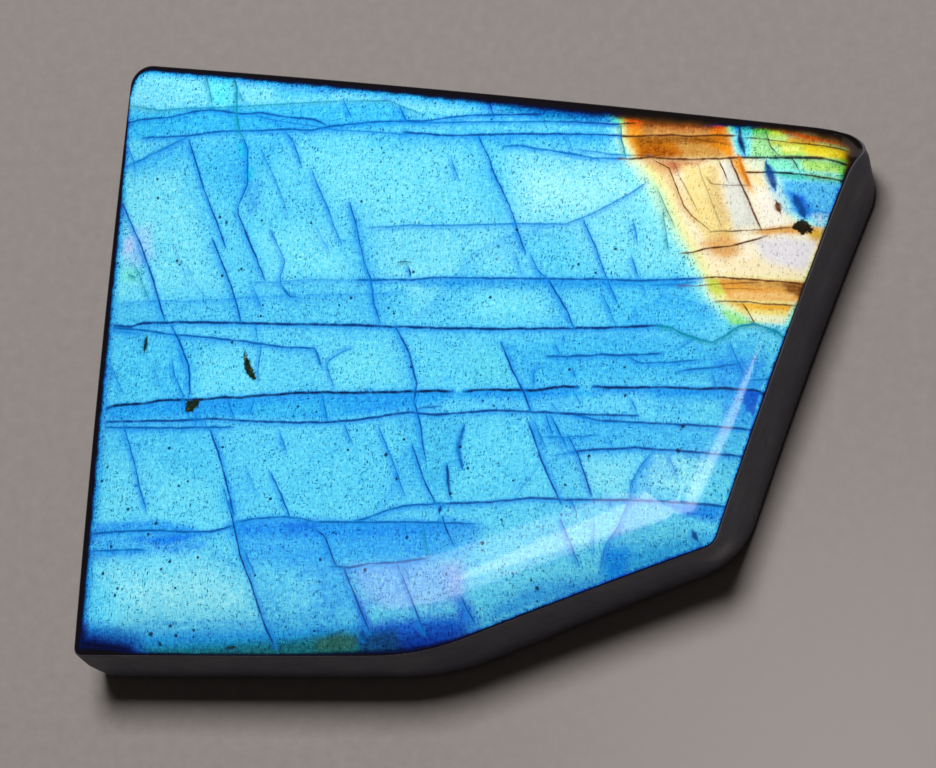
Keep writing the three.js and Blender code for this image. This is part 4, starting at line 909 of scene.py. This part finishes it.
def soft_colours(x, y):
    """The face's colour at each point, before lines and grains: the washes, and the shades beside lines."""
    colour = np.tile(light(FLASH), (len(x), 1))

    def lay(indices, share, over):
        colour[indices] += (light(over) - colour[indices]) * share[:, None]

    def lay_washes(patches):
        for patch in patches:
            indices = near(patch["outline"], x, y, patch["soft"])
            depth = inside_distance(patch["outline"], x[indices], y[indices])
            lay(indices, patch["share"] * fade(depth, -patch["soft"], patch["soft"]), patch["colour"])

    lay_washes(BLUE_WASHES)
    for line in LEVEL_VEINS + STEEP_VEINS + ARCS + GRAINS:
        if line["shade"] == 0:
            continue
        indices = near(line["points"], x, y, SHADED_RANGE * line["reach"])
        signed, past, place, length = line_distance(line["points"], x[indices], y[indices])
        signed = signed * (line["side"] or 1)
        other_reach = line["reach"] if line["side"] == BOTH else PLAIN_SIDE_REACH
        away = np.where(signed > 0, signed / line["reach"], -signed / other_reach)
        ends = fade(place, *SHADE_TAPER) * fade(length - place, *SHADE_TAPER) * (1 - fade(past, 0, SHADE_END))
        lay(indices, line["shade"] * np.exp(-away) * ends, DEEP_FLASH)
    lay_washes(GOLD_WASHES)
    return colour


STEEP_BOLDNESS = 1.3  # steep lines are drawn this much stronger than level ones, up to a limit
STEEP_LIMIT = 0.8
LINE_TAPER = 0.5  # how far from its ends a line begins to weaken
LINE_END = 0.2
LINE_FADES_AT = 0.22  # how far beside a line its strength is kept
FAINT_HALF_WIDTH = 0.022
WIDER_WITH_STRENGTH = 0.042
LEVEL_WIDENING = 1.35
GRAIN_TIP = 0.02
AWAY_FROM_LINES = 9


def half_width(line, steep, place, length):
    """Half the width of a line at places along it."""
    if line["lens"]:
        along = 2 * place / length - 1
        return line["width"] * np.sqrt(np.maximum(1 - along ** 2, GRAIN_TIP))
    usual = (FAINT_HALF_WIDTH + WIDER_WITH_STRENGTH * line["strength"]) * (1 if steep else LEVEL_WIDENING)
    return (line["width"] or usual) + 0 * place


def line_numbers(members, x, y):
    """For a set of lines: distance, below zero on the shaded side, strength and half width, and the kind."""
    numbers = np.zeros((len(x), 3))
    numbers[:, 0] = AWAY_FROM_LINES
    kinds = np.zeros(len(x))
    for line in members:
        indices = near(line["points"], x, y, REACH_OF_LINE)
        signed, past, place, length = line_distance(line["points"], x[indices], y[indices])
        close = (np.abs(signed) < REACH_OF_LINE) & (past < REACH_OF_LINE)
        indices, signed, past, place = indices[close], signed[close], past[close], place[close]
        run = np.abs(line["points"][-1] - line["points"][0])
        steep = run[0] < run[1]
        bolder = max(min(STEEP_LIMIT, STEEP_BOLDNESS * line["strength"]), line["strength"])
        taper = min(LINE_TAPER, length / 3)
        middle = 1 if line["lens"] else fade(place, -taper, taper) * fade(length - place, -taper, taper)
        strength = (bolder if steep else line["strength"]) * middle
        strength = strength * (1 - fade(np.abs(signed), LINE_FADES_AT, REACH_OF_LINE))
        strength = strength * (1 - fade(past, 0, LINE_END))
        shaded_below = -signed if line["side"] == EAST else signed
        width = half_width(line, steep, place, length)
        numbers[indices] = np.stack([shaded_below, strength, width], axis=1)
        kinds[indices] = line["kind"]
    return numbers, kinds


STAIN_MARGIN = 0.5  # how far outside a stain its numbers are kept, in millimetres


def stain_numbers(x, y):
    """How far inside a stain each point lies, how dark the stain is, and its kind."""
    numbers = np.zeros((len(x), 3))
    numbers[:, 0] = -1
    for patch in STAINS:
        indices = near(patch["outline"], x, y, STAIN_MARGIN)
        depth = inside_distance(patch["outline"], x[indices], y[indices])
        close = depth > -STAIN_MARGIN
        numbers[indices[close], 0] = depth[close]
        numbers[indices[close], 1:] = patch["dark"], patch["kind"]
    return numbers


SPECK_MARGIN = 0.5
SPECK_FADES = (0.28, 0.45)  # where, round a speck, its radius goes down to 0


def speck_numbers(members, x, y):
    """The way from the nearest speck to each point, and that speck's radius, which is 0 away from it."""
    numbers = np.zeros((len(x), 3))
    for speck_x, speck_y, radius in members:
        away = np.hypot(x - speck_x, y - speck_y)
        close = away < SPECK_MARGIN
        size = radius * (1 - fade(away[close], *SPECK_FADES))
        numbers[close] = np.stack([x[close] - speck_x, y[close] - speck_y, size], axis=1)
    return numbers


FAR_INSIDE = 3.0  # stands for every distance from the arris that is beyond the rim
RIM_REACH = 0.8  # the rim lies outside this share of the dome
OUTLINE_STEP = 3  # every third point of the arris is enough for measuring
LEAST_DEPTH = 0.02  # points deeper than this below the arris are on the wall


def rim_numbers(points, places, depths, shift):
    """How far inside the arris each point lies, in widths of the dark rim and in millimetres, and how
    brown the rim is there."""
    x, y, z = points.T
    inset = np.full(len(x), FAR_INSIDE)
    edge = np.flatnonzero(z < dome_height(RIM_REACH))
    inset[edge] = inside_distance(arris_line[::OUTLINE_STEP] + shift, x[edge], y[edge])
    inset = np.where(depths > LEAST_DEPTH, -depths, inset)
    anchors = []
    for anchor_x, anchor_y, width, brown in RIM:
        away = np.hypot(*(arris_line + shift - (anchor_x, anchor_y)).T)
        anchors.append((MARKS[np.argmin(away)], width, brown))
    marks, widths, browns = np.array(sorted(anchors)).T
    width = np.interp(places, marks, widths, period=MARKS[-1])
    brown = np.interp(places, marks, browns, period=MARKS[-1])
    return np.stack([inset / width, brown, inset], axis=1)


class Sheet:
    """Adds nodes to one material and wires them."""

    def __init__(self, name):
        self.material = bpy.data.materials.new(name)
        self.material.use_nodes = True
        self.tree = self.material.node_tree
        self.shader = self.tree.nodes["Principled BSDF"]

    def node(self, kind, inputs=None, **settings):
        made = self.tree.nodes.new("ShaderNode" + kind)
        for name, value in settings.items():
            setattr(made, name, value)
        for name, value in (inputs or {}).items():
            self.put(made.inputs[name], value)
        return made

    def finish(self, inputs):
        """Sets the shader's own sockets, by wire or by value."""
        for name, value in inputs.items():
            self.put(self.shader.inputs[name], value)
        return self.material

    def put(self, socket, value):
        if isinstance(value, bpy.types.NodeSocket):
            self.tree.links.new(value, socket)
        else:
            socket.default_value = value

    def math(self, operation, *values, clamp=False):
        return self.node("Math", dict(enumerate(values)), operation=operation, use_clamp=clamp).outputs[0]

    def times(self, *values, clamp=False):
        return self.math("MULTIPLY", *values, clamp=clamp)

    def plus(self, *values):
        return self.math("ADD", *values)

    def linear(self, value, slope, start):
        """The start and, on top of it, the value times the slope."""
        return self.math("MULTIPLY_ADD", value, slope, start)

    def climb(self, value, start, end, low=0.0, high=1.0):
        """A smooth climb from low to high as the value goes from start to end."""
        inputs = {"Value": value, "From Min": start, "From Max": end, "To Min": low, "To Max": high}
        return self.node("MapRange", inputs, interpolation_type="SMOOTHSTEP").outputs[0]

    def spot(self, away, radius, outer=1.15, inner=0.6):
        """1 within a radius and 0 beyond it, with its soft edge between two shares of the radius."""
        return self.climb(away, self.times(radius, outer), self.times(radius, inner))

    def mix(self, share, below, above, blend="MIX"):
        made = self.node("Mix", data_type="RGBA", blend_type=blend)
        for index, value in ((0, share), (6, below), (7, above)):
            self.put(made.inputs[index], value)
        return made.outputs[2]

    def tint(self, share, below, colour):
        return self.mix(share, below, paint(colour))

    def scaled(self, vector, *factors):
        return self.node("VectorMath", {0: vector, 1: factors}, operation="MULTIPLY").outputs[0]

    def millimetres(self):
        """The place on the object, in millimetres."""
        return self.scaled(self.node("TexCoord").outputs["Object"], *[1 / MM] * 3)

    def away(self, place, point):
        """The distance from a point."""
        return self.node("VectorMath", {0: place, 1: point}, operation="DISTANCE").outputs["Value"]

    def parts(self, vector):
        """The three numbers of a vector."""
        return self.node("SeparateXYZ", {0: vector}).outputs

    def read(self, name):
        """One of the stone's attributes: its outputs as a colour, a vector and a number."""
        return self.node("Attribute", attribute_name=name).outputs

    def noise(self, place, scale, detail=2.0, roughness=0.5):
        inputs = {"Vector": place, "Scale": scale, "Detail": detail, "Roughness": roughness}
        return self.node("TexNoise", inputs).outputs["Fac"]

    def ramp(self, value, *stops):
        made = self.node("ValToRGB", {"Fac": value})
        elements = made.color_ramp.elements
        while len(elements) < len(stops):
            elements.new(0.5)
        for element, (position, colour) in zip(elements, stops):
            element.position = position
            element.color = paint(colour)
        return made.outputs["Color"]


SEED_SLANT = 2.3  # each kind's cells are turned about a point of their own, set by the seed


def grain_layer(sheet, place, cell, size, share, tilt, seed):
    """One kind of fine dark needle: where it shows, 0 to 1. The cell is in millimetres, and the size is the
    share of a cell's length and width that the needle takes up."""
    middle = (seed, SEED_SLANT * seed, 0)
    turn = {"Vector": place, "Angle": tilt, "Center": middle}
    turned = sheet.node("VectorRotate", turn, rotation_type="Z_AXIS").outputs[0]
    stretched = sheet.scaled(turned, 1 / cell[0], 1 / cell[1], 0)
    inputs = {"Vector": stretched, "Scale": 1.0, "Randomness": 1.0}
    cells = sheet.node("TexVoronoi", inputs, voronoi_dimensions="2D")
    used, wide, dark = sheet.parts(cells.outputs["Color"])
    drawn = sheet.spot(cells.outputs["Distance"], sheet.linear(wide, 0.6 * size, 0.5 * size))
    shown = sheet.times(drawn, sheet.linear(dark, 0.65, 0.35))
    return sheet.times(shown, sheet.climb(used, 1 - share, 1.15 - share))


def warmth(sheet, colour):
    """1 where the flash is gold, orange or cream, 0 where it is blue or green."""
    red, _, blue = sheet.node("SeparateColor", {"Color": colour}).outputs
    redder = sheet.climb(sheet.math("SUBTRACT", red, blue), -0.25, 0.1)
    return sheet.times(sheet.climb(red, 0.3, 0.6), redder)


def mottled(sheet, place, colour, warm):
    """The flash with its fine unevenness: cloudy patches, and deeper and paler flecks along the needles."""
    deeper = sheet.mix(1.0, colour, colour, "MULTIPLY")
    paler = sheet.mix(1.0, colour, colour, "SCREEN")
    strength = sheet.climb(warm, 0, 1, 1, 0.6)
    cloud = sheet.climb(sheet.noise(place, 0.6, 4, 0.6), 0.4, 0.66, high=0.25)
    steep = sheet.noise(sheet.scaled(place, 9, 3.4, 1), 1.0, 4, 0.75)
    level = sheet.noise(sheet.scaled(place, 3.2, 10, 1), 1.0, 4, 0.75)
    colour = sheet.mix(cloud, colour, deeper)
    for fleck, deep, pale in ((steep, 0.75, 0.95), (level, 0.6, 0.75)):
        deepened = sheet.times(sheet.climb(fleck, 0.5, 0.72, high=deep), strength)
        paled = sheet.times(sheet.climb(fleck, 0.5, 0.3, high=pale), strength)
        colour = sheet.mix(paled, sheet.mix(deepened, colour, deeper), paler)
    return colour


# Needles and specks in two shades, each with its colour on the blue flash and on the gold. Each kind has a
# cell in millimetres, the share of it that a needle takes up, the share of cells used, a tilt, a seed and
# a depth.
NEEDLES = [
    ((10, 146, 184), (186, 170, 150), [
        ((0.13, 0.36), 0.26, 0.6, 0.2, 3.0, 1.0),
        ((0.15, 0.3), 0.25, 0.55, -0.12, 11.0, 1.0),
        ((0.42, 0.16), 0.23, 0.5, 0.05, 23.0, 0.95),
    ]),
    ((6, 102, 140), (112, 100, 90), [
        ((0.19, 0.46), 0.21, 0.36, 0.15, 7.0, 1.0),
        ((0.32, 0.28), 0.15, 0.34, 0.4, 17.0, 1.0),
        ((0.6, 0.64), 0.12, 0.4, 0.3, 31.0, 0.95),
    ]),
]


def needled(sheet, place, colour, warm):
    """Thousands of tiny needles, most of them steep and a few level, denser in places, and rounder specks."""
    crowd = sheet.climb(sheet.noise(place, 0.7, 3, 0.6), 0.34, 0.62, 0.55, 1.0)
    crowd = sheet.times(crowd, sheet.climb(warm, 0, 1, 1, 0.6))
    for blue_shade, warm_shade, kinds in NEEDLES:
        tone = sheet.mix(warm, paint(blue_shade), paint(warm_shade))
        shaded = sheet.mix(1.0, colour, tone, "MULTIPLY")
        for cell, size, share, tilt, seed, depth in kinds:
            shown = sheet.times(grain_layer(sheet, place, cell, size, share, tilt, seed), crowd)
            colour = sheet.mix(sheet.times(shown, depth), colour, shaded)
    return colour


HALO = (12, 138, 234)
VEIN_BLUES = ((0.15, (20, 142, 212)), (0.5, (8, 108, 184)), (0.8, (5, 72, 146)), (1, (4, 36, 88)))
KIND_COLOURS = ((TEAL, (0, 142, 170)), (SOOT, (16, 40, 36)), (BROWN, (98, 52, 18)), (ORANGE, (206, 118, 34)))


def kind_colour(sheet, kind, blue):
    """Blue lines take their colour from their strength, and the others from their kind."""
    other = sheet.ramp(kind, *KIND_COLOURS)
    return sheet.mix(sheet.climb(kind, 0.05, 0.2), blue, other)


def veined(sheet, place, colour, warm, sets):
    """The thin lines, darker and wider the stronger they are, each with a halo, wider on its shaded side."""
    waver = sheet.linear(sheet.noise(place, 1.5, 4), 0.12, -0.06)
    ragged = sheet.climb(sheet.noise(place, 1.3, 4, 0.7), 0.34, 0.64, 0.75, 1.12)
    for index in range(sets):
        kind = sheet.math("MAXIMUM", sheet.read(f"kind_{index}")["Fac"], sheet.times(warm, BROWN))
        distance, strength, width = sheet.parts(sheet.read(f"line_{index}")["Vector"])
        shifted = sheet.plus(distance, waver)
        away = sheet.math("ABSOLUTE", shifted)
        reach = sheet.times(width, ragged)
        opacity = sheet.times(sheet.climb(strength, 0.0, 0.55), ragged, clamp=True)
        halo = sheet.climb(away, sheet.linear(reach, 2.0, 0.05), 0.0, high=0.42)
        shaded_side = sheet.climb(shifted, 0.05, 0.0)
        beside = sheet.math("MINIMUM", sheet.climb(shifted, -0.36, 0.0, high=0.65), shaded_side)
        halo = sheet.times(sheet.math("MAXIMUM", halo, beside), sheet.climb(kind, 0.3, 0.6, 1, 0.3))
        core = sheet.spot(away, reach, 1.35, 0.3)
        blue = sheet.ramp(strength, *VEIN_BLUES)
        colour = sheet.mix(sheet.times(halo, opacity), colour, kind_colour(sheet, kind, paint(HALO)))
        colour = sheet.mix(sheet.times(core, opacity), colour, kind_colour(sheet, kind, blue))
    return colour


SPECK_COLOUR = (4, 44, 84)
STAIN_BLUES = ((0.3, (10, 58, 190)), (0.7, (12, 88, 220)))
STAIN_BLACKS = ((0.35, (7, 22, 26)), (0.6, (30, 48, 30)), (0.72, (96, 84, 34)))
STAIN_ON_GOLD = (30, 18, 8)


def specked(sheet, colour, uneven, sets):
    """The bigger specks, each roundish and dark."""
    for index in range(sets):
        across, up, radius = sheet.parts(sheet.read(f"speck_{index}")["Vector"])
        away = sheet.math("SQRT", sheet.plus(sheet.times(across, across), sheet.times(up, up)))
        drawn = sheet.spot(away, sheet.times(radius, sheet.linear(uneven, 1.2, 0.3)))
        colour = sheet.tint(sheet.times(drawn, 0.92), colour, SPECK_COLOUR)
    return colour


def stained(sheet, place, colour, warm, uneven):
    """The grains and the patch with outlines of their own: black and patchy, or blue."""
    depth, dark, kind = sheet.parts(sheet.read("stain")["Vector"])
    ragged = sheet.linear(uneven, 0.3, -0.15)
    shown = sheet.times(sheet.climb(sheet.plus(depth, ragged), -0.05, 0.06), dark)
    blue = sheet.ramp(uneven, *STAIN_BLUES)
    black = sheet.ramp(sheet.noise(place, 5, 3), *STAIN_BLACKS)
    black = sheet.tint(sheet.times(warm, 0.85), black, STAIN_ON_GOLD)
    return sheet.mix(shown, colour, sheet.mix(sheet.climb(kind, 0.1, 0.3), blue, black))


# The rim's colours beside the blue flash and beside the gold: its inner edge, its dark middle, and outside
RIM_EDGES = (4, 24, 92), (96, 60, 18)
RIM_MIDDLES = (3, 10, 40), (50, 30, 10)
RIM_BLACK = (14, 10, 9)


def rim_painted_shade(sheet, place, colour):
    """Painted shade at the dark rim, where the face bends down and the flash goes dark: navy inside and brown
    black outside.
    """
    widths, brown, _ = sheet.parts(sheet.read("rim")["Vector"])
    edge = sheet.plus(widths, sheet.linear(sheet.noise(place, 1.4, 3), 0.5, -0.25))
    deeper = sheet.mix(1.0, colour, sheet.mix(1.0, colour, colour, "MULTIPLY"), "MULTIPLY")
    # Painted shade: the flash deepens towards the rim
    colour = sheet.mix(sheet.climb(edge, 2.3, 0.9, high=0.95), colour, deeper)
    golden = sheet.climb(brown, 0.9, 1)
    for start, end, most, tones in ((1.3, 0.75, 0.9, RIM_EDGES), (1.1, 0.7, 1.0, RIM_MIDDLES)):
        tone = sheet.mix(golden, *map(paint, tones))
        colour = sheet.mix(sheet.climb(edge, start, end, high=most), colour, tone)
    return sheet.tint(sheet.times(sheet.climb(edge, 0.8, 0.45), brown), colour, RIM_BLACK)


GROUND_GREYS = ((0.3, (94, 96, 108)), (0.55, (108, 108, 119)), (0.75, (126, 125, 133)))
DARK_GRIT = (66, 66, 76)
PALE_GRIT = (140, 136, 134)
STREAK = (76, 75, 84)
# The colour of the painted shade towards the wall's foot
FOOT_PAINTED_SHADE = (62, 61, 70)
PALE_CORNER_PATCH = (168, 164, 164)
PALE_CORNER_AT = (13.9, -10.9, 2.6)  # a paler spot low on the wall, at the lower right corner


def ground_stone(sheet, place):
    """The matte ground wall and back: dark grey, speckled, with faint streaks and pale dust, with painted
    shade darker towards the foot and over the back, and a paler patch at the lower right corner.
    """
    colour = sheet.ramp(sheet.noise(place, 0.35, 4, 0.6), *GROUND_GREYS)
    grit = sheet.noise(place, 9, 3, 0.7)
    colour = sheet.tint(sheet.climb(grit, 0.52, 0.75, high=0.6), colour, DARK_GRIT)
    colour = sheet.tint(sheet.climb(grit, 0.42, 0.25, high=0.35), colour, PALE_GRIT)
    streaks = sheet.noise(sheet.scaled(place, 0.5, 0.5, 7), 1.0, 2)
    colour = sheet.tint(sheet.climb(streaks, 0.58, 0.7, high=0.35), colour, STREAK)
    # Painted shade: the wall is painted darker towards its foot, and the flat back with it
    colour = sheet.tint(sheet.climb(sheet.parts(place)[2], 2.4, 0.2, high=0.4), colour, FOOT_PAINTED_SHADE)
    # The wall is painted paler within about 2 mm of a point at the lower right corner
    from_pale_corner = sheet.plus(sheet.away(place, PALE_CORNER_AT), sheet.times(grit, 1.2))
    return sheet.tint(sheet.climb(from_pale_corner, 2.0, 1.0, high=0.5), colour, PALE_CORNER_PATCH)


GROUND_ROUGHNESS = 0.6
FACE_ROUGHNESS = 0.32
SCRATCH_DEPTH = 0.00006  # in metres


def stone_material(line_count, speck_count):
    """Polished on the face, ground matte on the walls and the back."""
    sheet = Sheet("labradorite")
    place = sheet.millimetres()
    uneven = sheet.noise(place, 7, 2)
    flash = sheet.read("flash")["Color"]
    warm = warmth(sheet, flash)
    colour = mottled(sheet, place, flash, warm)
    colour = needled(sheet, place, colour, warm)
    colour = veined(sheet, place, colour, warm, line_count)
    colour = specked(sheet, colour, uneven, speck_count)
    colour = stained(sheet, place, colour, warm, uneven)
    colour = rim_painted_shade(sheet, place, colour)

    inset = sheet.parts(sheet.read("rim")["Vector"])[2]
    polished = sheet.climb(inset, -0.05, 0.05)
    scratches = sheet.times(sheet.noise(place, 6, 4, 0.65), sheet.climb(polished, 0, 1, 1, 0.02))
    bump = sheet.node("Bump", {"Height": scratches, "Strength": 0.5, "Distance": SCRATCH_DEPTH})
    return sheet.finish({
        "Base Color": sheet.mix(polished, ground_stone(sheet, place), colour),
        "Roughness": sheet.climb(polished, 0, 1, GROUND_ROUGHNESS, FACE_ROUGHNESS),
        "Specular IOR Level": 0.15,
        "Coat Weight": polished,
        "Coat Roughness": 0.06,
        "Coat IOR": 1.56,
        "Normal": bump.outputs[0],
    })


def write_attribute(mesh, name, values):
    """Gives each point of the mesh a number, or three."""
    kind, field = ("FLOAT", "value") if values.ndim == 1 else ("FLOAT_VECTOR", "vector")
    made = mesh.attributes.new(name, kind, "POINT")
    made.data.foreach_set(field, values.astype(np.float32).ravel())


# The map for baking: the face lies flat in the upper part, the wall in strips below it, and the back beside
# the strips.
FACE_SPAN = 41.0
FACE_CORNER = (-20.5, -15.8)
FACE_SHARE = 0.92
FACE_AT = (0.04, 0.285)
STRIPS = 3
STRIP_AT = (0.02, 0.01)
STRIP_LENGTH = 0.66
STRIP_HEIGHT = 0.08
STRIP_GAP = 0.012
BACK_SHARE = 0.26
BACK_AT = (0.71, 0.04)


def plan_map(points, share, at):
    """Places on the map for points seen from above."""
    return (points[:, :2] - FACE_CORNER) / FACE_SPAN * share + at


def wall_map(rings):
    """The map's corners for each band of the wall, in the order of the faces."""
    column = np.arange(AROUND)
    strip_columns = math.ceil(AROUND / STRIPS)
    strip = column // strip_columns
    left = (column % strip_columns) / strip_columns * STRIP_LENGTH + STRIP_AT[0]
    right = left + STRIP_LENGTH / strip_columns
    base = STRIP_AT[1] + strip * (STRIP_HEIGHT + STRIP_GAP)
    corners = []
    for band in range(rings):
        top = base + STRIP_HEIGHT * (1 - band / rings)
        bottom = base + STRIP_HEIGHT * (1 - (band + 1) / rings)
        around = ((left, top), (left, bottom), (right, bottom), (right, top))
        corners.append(np.stack([np.stack(pair, axis=1) for pair in around], axis=1))
    return np.vstack(corners)


def stone_mesh(points):
    """The closed net of the stone, with its map for baking. Only the flat back isn't smooth."""
    rings = (len(points) - SIDE * SIDE) // AROUND
    net, bands, back = stone_faces(rings)
    mesh = bpy.data.meshes.new(STONE + "_looks")
    mesh.from_pydata((points * MM).tolist(), [], net.tolist() + bands.tolist() + [back.tolist()])
    smooth = np.ones(len(mesh.polygons), bool)
    smooth[-1] = False
    mesh.polygons.foreach_set("use_smooth", smooth)

    face = plan_map(points, FACE_SHARE, FACE_AT)[net.ravel()]
    under = plan_map(points, BACK_SHARE, BACK_AT)[back]
    corners = np.vstack([face, wall_map(rings).reshape(-1, 2), under])
    mesh.uv_layers.new(name="OFBake").uv.foreach_set("vector", corners.astype(np.float32).ravel())
    return mesh


def build_stone():
    """The stone, with its colours and lines as attributes that its material reads."""
    points, places, depths = stone_points()
    mesh = stone_mesh(points)
    x, y = points[:, 0], points[:, 1]
    shift = points[HALF_NET * SIDE + HALF_NET, :2]
    write_attribute(mesh, "flash", soft_colours(x, y))
    lines = LEVEL_VEINS + STEEP_VEINS + GOLD_STREAKS + ARCS + GRAINS
    line_sets = sorted_apart(lines, lambda line: dense(line["points"]), LINES_APART)
    for index, members in enumerate(line_sets):
        numbers, kinds = line_numbers(members, x, y)
        write_attribute(mesh, f"line_{index}", numbers)
        write_attribute(mesh, f"kind_{index}", kinds)
    speck_sets = sorted_apart(SPECKS, lambda speck: np.array([speck[:2]]), SPECKS_APART)
    for index, members in enumerate(speck_sets):
        write_attribute(mesh, f"speck_{index}", speck_numbers(members, x, y))
    write_attribute(mesh, "stain", stain_numbers(x, y))
    write_attribute(mesh, "rim", rim_numbers(points, places, depths, shift))

    stone = bpy.data.objects.new("labradorite_slab", mesh)
    bpy.context.scene.collection.objects.link(stone)
    mesh.materials.append(stone_material(len(line_sets), len(speck_sets)))
    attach(stone, "root")
    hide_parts(STONE)


FLOOR_HALF = 1.5
FLOOR_LEVEL = -0.00001
PAPER = ((0.3, (134, 128, 124)), (0.5, (138, 131, 127)), (0.7, (142, 135, 131)))
PAINTED_FLOOR_LIGHT = (152, 144, 140)
PAINTED_LIGHT_AT = (20, -24, 0)  # painted light: the paper is painted paler round here, in millimetres


def build_floor():
    """A pale sheet of paper under the stone, with painted light making it paler towards the lower right."""
    mesh = bpy.data.meshes.new("floor")
    signs = ((-1, -1), (1, -1), (1, 1), (-1, 1))
    mesh.from_pydata([(FLOOR_HALF * a, FLOOR_HALF * b, FLOOR_LEVEL) for a, b in signs], [], [(0, 1, 2, 3)])
    floor = bpy.data.objects.new("floor", mesh)
    bpy.context.scene.collection.objects.link(floor)
    sheet = Sheet("pale_paper")
    place = sheet.millimetres()
    colour = sheet.ramp(sheet.noise(place, 1.6, 5, 0.65), *PAPER)
    # Painted light: a paler pool on the paper towards the lower right
    colour = sheet.tint(sheet.climb(sheet.away(place, PAINTED_LIGHT_AT), 26, 2), colour, PAINTED_FLOOR_LIGHT)
    mesh.materials.append(sheet.finish({"Base Color": colour, "Roughness": 0.9, "Specular IOR Level": 0.1}))


def lamp(name, middle, size, radiance):
    """A flat square or oblong lamp that faces straight down. The middle and the size are in millimetres."""
    made = bpy.data.lights.new(name, "AREA")
    made.shape = "RECTANGLE"
    length, width = size[0] * MM, size[1] * MM
    made.size, made.size_y = length, width
    made.energy = radiance * math.pi * length * width
    holder = bpy.data.objects.new(name, made)
    holder.location = Vector(middle) * MM
    holder.visible_camera = False
    bpy.context.scene.collection.objects.link(holder)
    return holder


# Panels that only show as reflections in the polish, in millimetres: middle, length, width, turn and radiance
MIRRORED_HEIGHT = 120
MIRRORED = [
    ((51, -4.0), 22, 4.6, 7, 5.0),
    ((38.2, -6.4), 10, 8, 22, 4.4),
    ((23, -12.6), 26, 14, 31, 4.4),
    ((-4.9, -28.4), 36, 25, 52.6, 5.0),
    ((-28, -31.5), 42, 38, 0, 1.8),
    ((-20, -41), 28, 20, 0, 4.0),
]
KEY_AT = (12, 268, 580)
KEY_SIZE = 224
KEY_RADIANCE = 31.3
ROOM = (1.0, 0.88, 0.82, 1)
ROOM_STRENGTH = 0.04


def build_lights():
    """The key lamp for light and shadow, the panels for the reflections, and a dim room."""
    bpy.context.scene.view_settings.view_transform = "Standard"
    key = lamp("key", KEY_AT, (KEY_SIZE, KEY_SIZE), KEY_RADIANCE)
    key.visible_glossy = False
    key.rotation_mode = "QUATERNION"
    key.rotation_quaternion = Vector((0, 0, 1)).rotation_difference(Vector(KEY_AT))
    for index, (middle, length, width, turn, radiance) in enumerate(MIRRORED):
        panel = lamp(f"panel_{index}", (*middle, MIRRORED_HEIGHT), (length, width), radiance)
        panel.rotation_euler[2] = math.radians(turn)
        panel.visible_diffuse = False
    world = bpy.data.worlds.new("room")
    world.use_nodes = True
    background = world.node_tree.nodes["Background"]
    background.inputs["Color"].default_value = ROOM
    background.inputs["Strength"].default_value = ROOM_STRENGTH
    bpy.context.scene.world = world


# The camera leans 24 degrees from straight down, towards the lower right of the picture.
PICTURE_WIDTH = 936
PIXELS_PER_MM = 20.0
DISTANCE = 380.0
TARGET = (0.443, -1.831, 4.6)
LEAN = math.radians(24)
TURN = math.radians(56.7)
SENSOR = 36.0
NEAREST = 0.01


def build_camera():
    back = Vector((math.sin(TURN) * math.sin(LEAN), -math.cos(TURN) * math.sin(LEAN), math.cos(LEAN)))
    camera = bpy.data.cameras.new("camera")
    camera.sensor_width = SENSOR
    camera.lens = PIXELS_PER_MM * DISTANCE / PICTURE_WIDTH * SENSOR
    camera.clip_start = NEAREST
    holder = bpy.data.objects.new("camera", camera)
    holder.location = (Vector(TARGET) + back * DISTANCE) * MM
    holder.rotation_mode = "QUATERNION"
    holder.rotation_quaternion = Vector((0, 0, 1)).rotation_difference(back)
    bpy.context.scene.collection.objects.link(holder)
    bpy.context.scene.camera = holder


build_camera()
build_stone()
build_floor()
build_lights()
